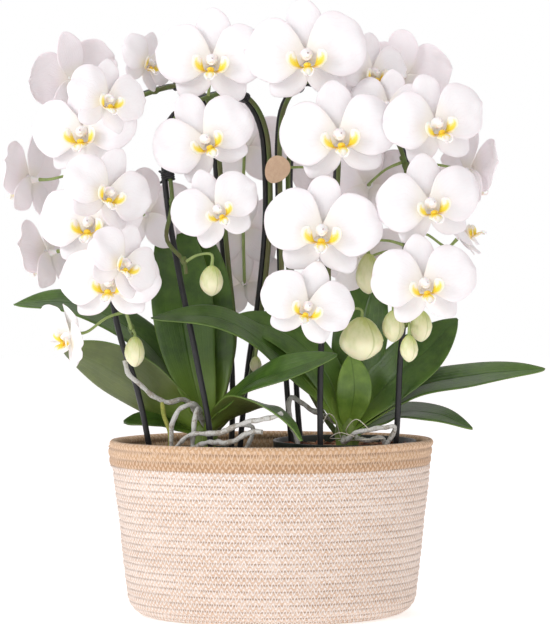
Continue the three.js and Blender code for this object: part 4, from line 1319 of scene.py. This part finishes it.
def makeLeaf(name, leaf, skins, seed):
    f = foliage
    piece = gridPiece(name, f["along"], f["across"])
    line = smoothLine(leaf["route"], 80)
    face = Vector(leaf["face"]).normalized()

    def place(x, y):
        t = 0.5 + 0.5 * x
        u = 1 - (1 - t) ** 1.6
        along = directionAt(line, u)
        side = along.cross(face).normalized()
        normal = side.cross(along).normalized()
        half = leaf["half"] * bladeWidth(u, f["widest"], f["claw"], f["blunt"])
        w = -y * half
        c = f["softness"]
        near = max(0, 1 - u / 0.3)
        raised = (leaf["fold"] + 0.75 * near) * (math.sqrt(w * w + c * c) - c)
        raised -= f["droop"] * w * w / leaf["half"] * math.sin(math.pi * u)
        ripple = noise.noise(Vector((u * 3.4, y * 0.8, seed * 5.1))) * f["wave"] * min(1, u * 3)
        return pointAt(line, u) + side * w + normal * (raised + ripple), (u, 0.5 + 0.5 * y)

    shapedGrid(piece, place)
    cleaned(piece, 0.05, outward=False)
    for skin in skins:
        piece.data.materials.append(skin)
    thickened(piece, f["thickness"])
    smoothed(piece, 180)
    return piece


leafSkins = [makeLeafSkin("leafTop", foliage["top"], foliage["topLight"], 1.0),
             makeLeafSkin("leafUnder", foliage["underDeep"], foliage["under"], 0.25)]
for side in ("left", "right"):
    for i, leaf in enumerate(foliage[side]):
        settle(makeLeaf(f"strap_{side}_{i + 1}", leaf, leafSkins, i + 1.3), [f"leaf_{side}_{i + 1}"])
print("stage: leaves made")


# Crowns: a short sheathed stem with a small leaf, and silvery roots that climb over the rim

crowns = {
    "middles": {"left": (-57, -6), "right": (64, -6)},
    "profile": [(0, 118), (8, 119), (9.6, 130), (9.2, 142), (10.2, 152), (8.4, 164), (5.6, 172), (0, 174)],
    "roots": {
        "left": [
            [(-60, -8, 162), (-72, -30, 183), (-84, -38, 182), (-94, -42, 184), (-109, -52, 197),
             (-118, -56, 206), (-121, -58, 217)],
            [(-58, -8, 160), (-62, -34, 178), (-70, -48, 180), (-80, -50, 172), (-84, -42, 133)],
            [(-57, -8, 158), (-62, -44, 176), (-64, -52, 168), (-66, -46, 133)],
            [(-56, -8, 152), (-40, -46, 158), (-26, -52, 164), (-16, -50, 161), (-26, -36, 133)],
            [(-86, -42, 137), (-66, -58, 156), (-44, -70, 158), (-20, -80, 168), (0, -92, 172),
             (8, -96, 176)],
            [(-70, -48, 142), (-52, -62, 150), (-34, -74, 151), (-16, -80, 160), (-8, -84, 160)],
        ],
        "right": [
            [(62, -8, 152), (60, -36, 148), (70, -48, 157), (86, -48, 160), (102, -43, 161), (95, -37, 145)],
            [(66, -8, 152), (80, -30, 149), (90, -38, 152), (96, -30, 145)],
            [(60, -8, 160), (30, -18, 176), (16, -22, 184), (14, -22, 172), (22, -20, 145)],
        ],
    },
    "stub": [(-91, -45, 182), (-89.5, -45, 171), (-84.5, -45, 156), (-85, -43, 132)],
    "threads": [
        [(58, -20, 150), (52, -34, 168), (46, -44, 172), (40, -46, 158)],
        [(64, -22, 152), (62, -40, 160), (70, -50, 168), (82, -50, 158)],
        [(56, -18, 148), (66, -38, 150), (78, -46, 151), (92, -48, 152)],
        [(60, -20, 150), (48, -40, 152), (56, -50, 157), (68, -52, 154)],
    ],
    "radius": 2.3, "threadRadius": 0.42,
    "sheath": (0.26, 0.38, 0.08, 1), "sheathDeep": (0.13, 0.20, 0.04, 1), "velamen": (0.70, 0.71, 0.68, 1),
    "velamenDeep": (0.33, 0.28, 0.21, 1), "stubShade": (0.42, 0.42, 0.10, 1),
    "threadShade": (0.80, 0.74, 0.60, 1),
}


def makeSheathSkin():
    s = Finish("sheathSkin", {"Roughness": 0.42, "Specular IOR Level": 0.4})
    streak = s.cloud(s.stretched(s.where(), (1, 1, 0.12)), 260.0)
    return s.surface(s.blended(streak, crowns["sheath"], crowns["sheathDeep"]), streak, 0.0005, 0.5)


def makeRootSkin(name, main, deep, share):
    s = Finish(name, {"Roughness": 0.8, "Specular IOR Level": 0.2})
    where = s.where()
    grain = s.cloud(where, 900.0)
    tone = s.plus(s.times(s.ranged(s.cloud(where, 150.0), 0.45, 0.9), share), s.times(grain, 0.25))
    return s.surface(s.blended(tone, main, deep), grain, 0.0007, 0.6)


def makeRoots(name, routes, radius, seed, count=44):
    lines = []
    for i, route in enumerate(routes):
        line = smoothLine(route, count)
        dots, radii = [], []
        for k, dot in enumerate(line):
            spot = Vector((k * 0.21, i * 3.7, seed))
            spots = (spot, spot + Vector((0, 9, 0)), spot * 1.3)
            wobble = Vector([noise.noise(at) for at in spots])
            fade = min(1, k / 4, (count - 1 - k) / 4)
            dots.append(dot + wobble * radius * 0.5 * fade)
            radii.append(radius * (0.88 + 0.34 * noise.noise(Vector((k * 0.35, i * 5.1, seed + 4)))))
        lines.append((dots, radii))
    return rods(name, lines, 2)


def makeCrown(side, skins):
    c = crowns
    x, y = c["middles"][side]
    node = ["crown_" + side]
    sheath = turned("sheath_" + side, c["profile"], 28)
    for vertex in sheath.data.vertices:
        a, b, z = vertex.co
        grow = 1 + 0.16 * math.cos(2 * math.atan2(b, a) + z * 0.12) + 0.07 * noise.noise(vertex.co * 0.2)
        vertex.co = Vector((x + a * grow, y + b * grow * 0.9, z))
    sheath.data.materials.append(skins["sheath"])
    smoothed(sheath, 60)
    settle(sheath, node)
    young = makeLeaf("strap_small_" + side, foliage["small"][side], skins["leaf"][side], 8.2)
    settle(young, node)
    roots = makeRoots("roots_" + side, c["roots"][side], c["radius"], 3.0 if side == "left" else 7.0)
    roots.data.materials.append(skins["root"])
    settle(roots, node)
    if side == "left":
        line = smoothLine(c["stub"], 20)
        stub = rods("stub_left", [(line, evenRadii(line, 1.9))], 3)
        stub.data.materials.append(skins["stub"])
        settle(stub, node)
    else:
        threads = makeRoots("threads_right", c["threads"], c["threadRadius"], 2.0, 24)
        threads.data.materials.append(skins["thread"])
        settle(threads, node)


youngTop = makeLeafSkin("leafYoung", foliage["topLight"], foliage["base"], 1.0)
crownSkins = {
    "leaf": {"left": leafSkins, "right": [youngTop, leafSkins[1]]},
    "sheath": makeSheathSkin(),
    "root": makeRootSkin("rootSkin", crowns["velamen"], crowns["velamenDeep"], 0.6),
    "stub": makeRootSkin("stubSkin", crowns["stubShade"], crowns["sheathDeep"], 0.3),
    "thread": makeRootSkin("threadSkin", crowns["threadShade"], crowns["velamen"], 0.4),
}
for side in ("left", "right"):
    makeCrown(side, crownSkins)
print("stage: crowns and roots made")


# Egg-shaped card tag, left bare

tagCard = {
    "middle": (4, 4.6, 377), "length": 24.5, "width": 20.5, "egg": 0.2, "thickness": 0.9, "tilt": -32,
    "kraft": (0.88, 0.64, 0.44, 1), "kraftDeep": (0.76, 0.50, 0.32, 1), "fibre": (0.90, 0.72, 0.54, 1),
}


def makeTag():
    t = tagCard
    piece = gridPiece("eggCard", 20, 20)
    tilt = math.radians(t["tilt"])

    def place(x, y):
        a, b = x * math.sqrt(1 - y * y / 2), y * math.sqrt(1 - x * x / 2)
        wide = 1 + t["egg"] * b
        u, v = a * wide * t["width"] / 2, b * t["length"] / 2
        bow = 0.5 * a * a
        c, s = math.cos(tilt), math.sin(tilt)
        spot = Vector((u * c - v * s, bow, u * s + v * c))
        return Vector(t["middle"]) + spot, (0.5 + a / 2, 0.5 + b / 2)

    shapedGrid(piece, place)
    s = Finish("kraftCard", {"Roughness": 0.85, "Specular IOR Level": 0.2})
    where = s.where()
    fibres = s.cloud(s.stretched(where, (1, 1, 7)), 700.0)
    shade = s.blended(s.times(s.cloud(where, 320.0), 0.6), t["kraft"], t["kraftDeep"])
    shade = s.blended(s.ranged(fibres, 0.62, 0.9, 0.0, 0.8), shade, t["fibre"])
    piece.data.materials.append(s.surface(shade, fibres, 0.0002, 0.5))
    applied(piece, "SOLIDIFY", thickness=t["thickness"], offset=0, use_even_offset=True)
    applied(piece, "BEVEL", width=0.18, segments=2, limit_method="ANGLE", angle_limit=math.radians(50))
    smoothed(piece, 40)
    settle(piece, ["tag"])


makeTag()
print("stage: tag made")
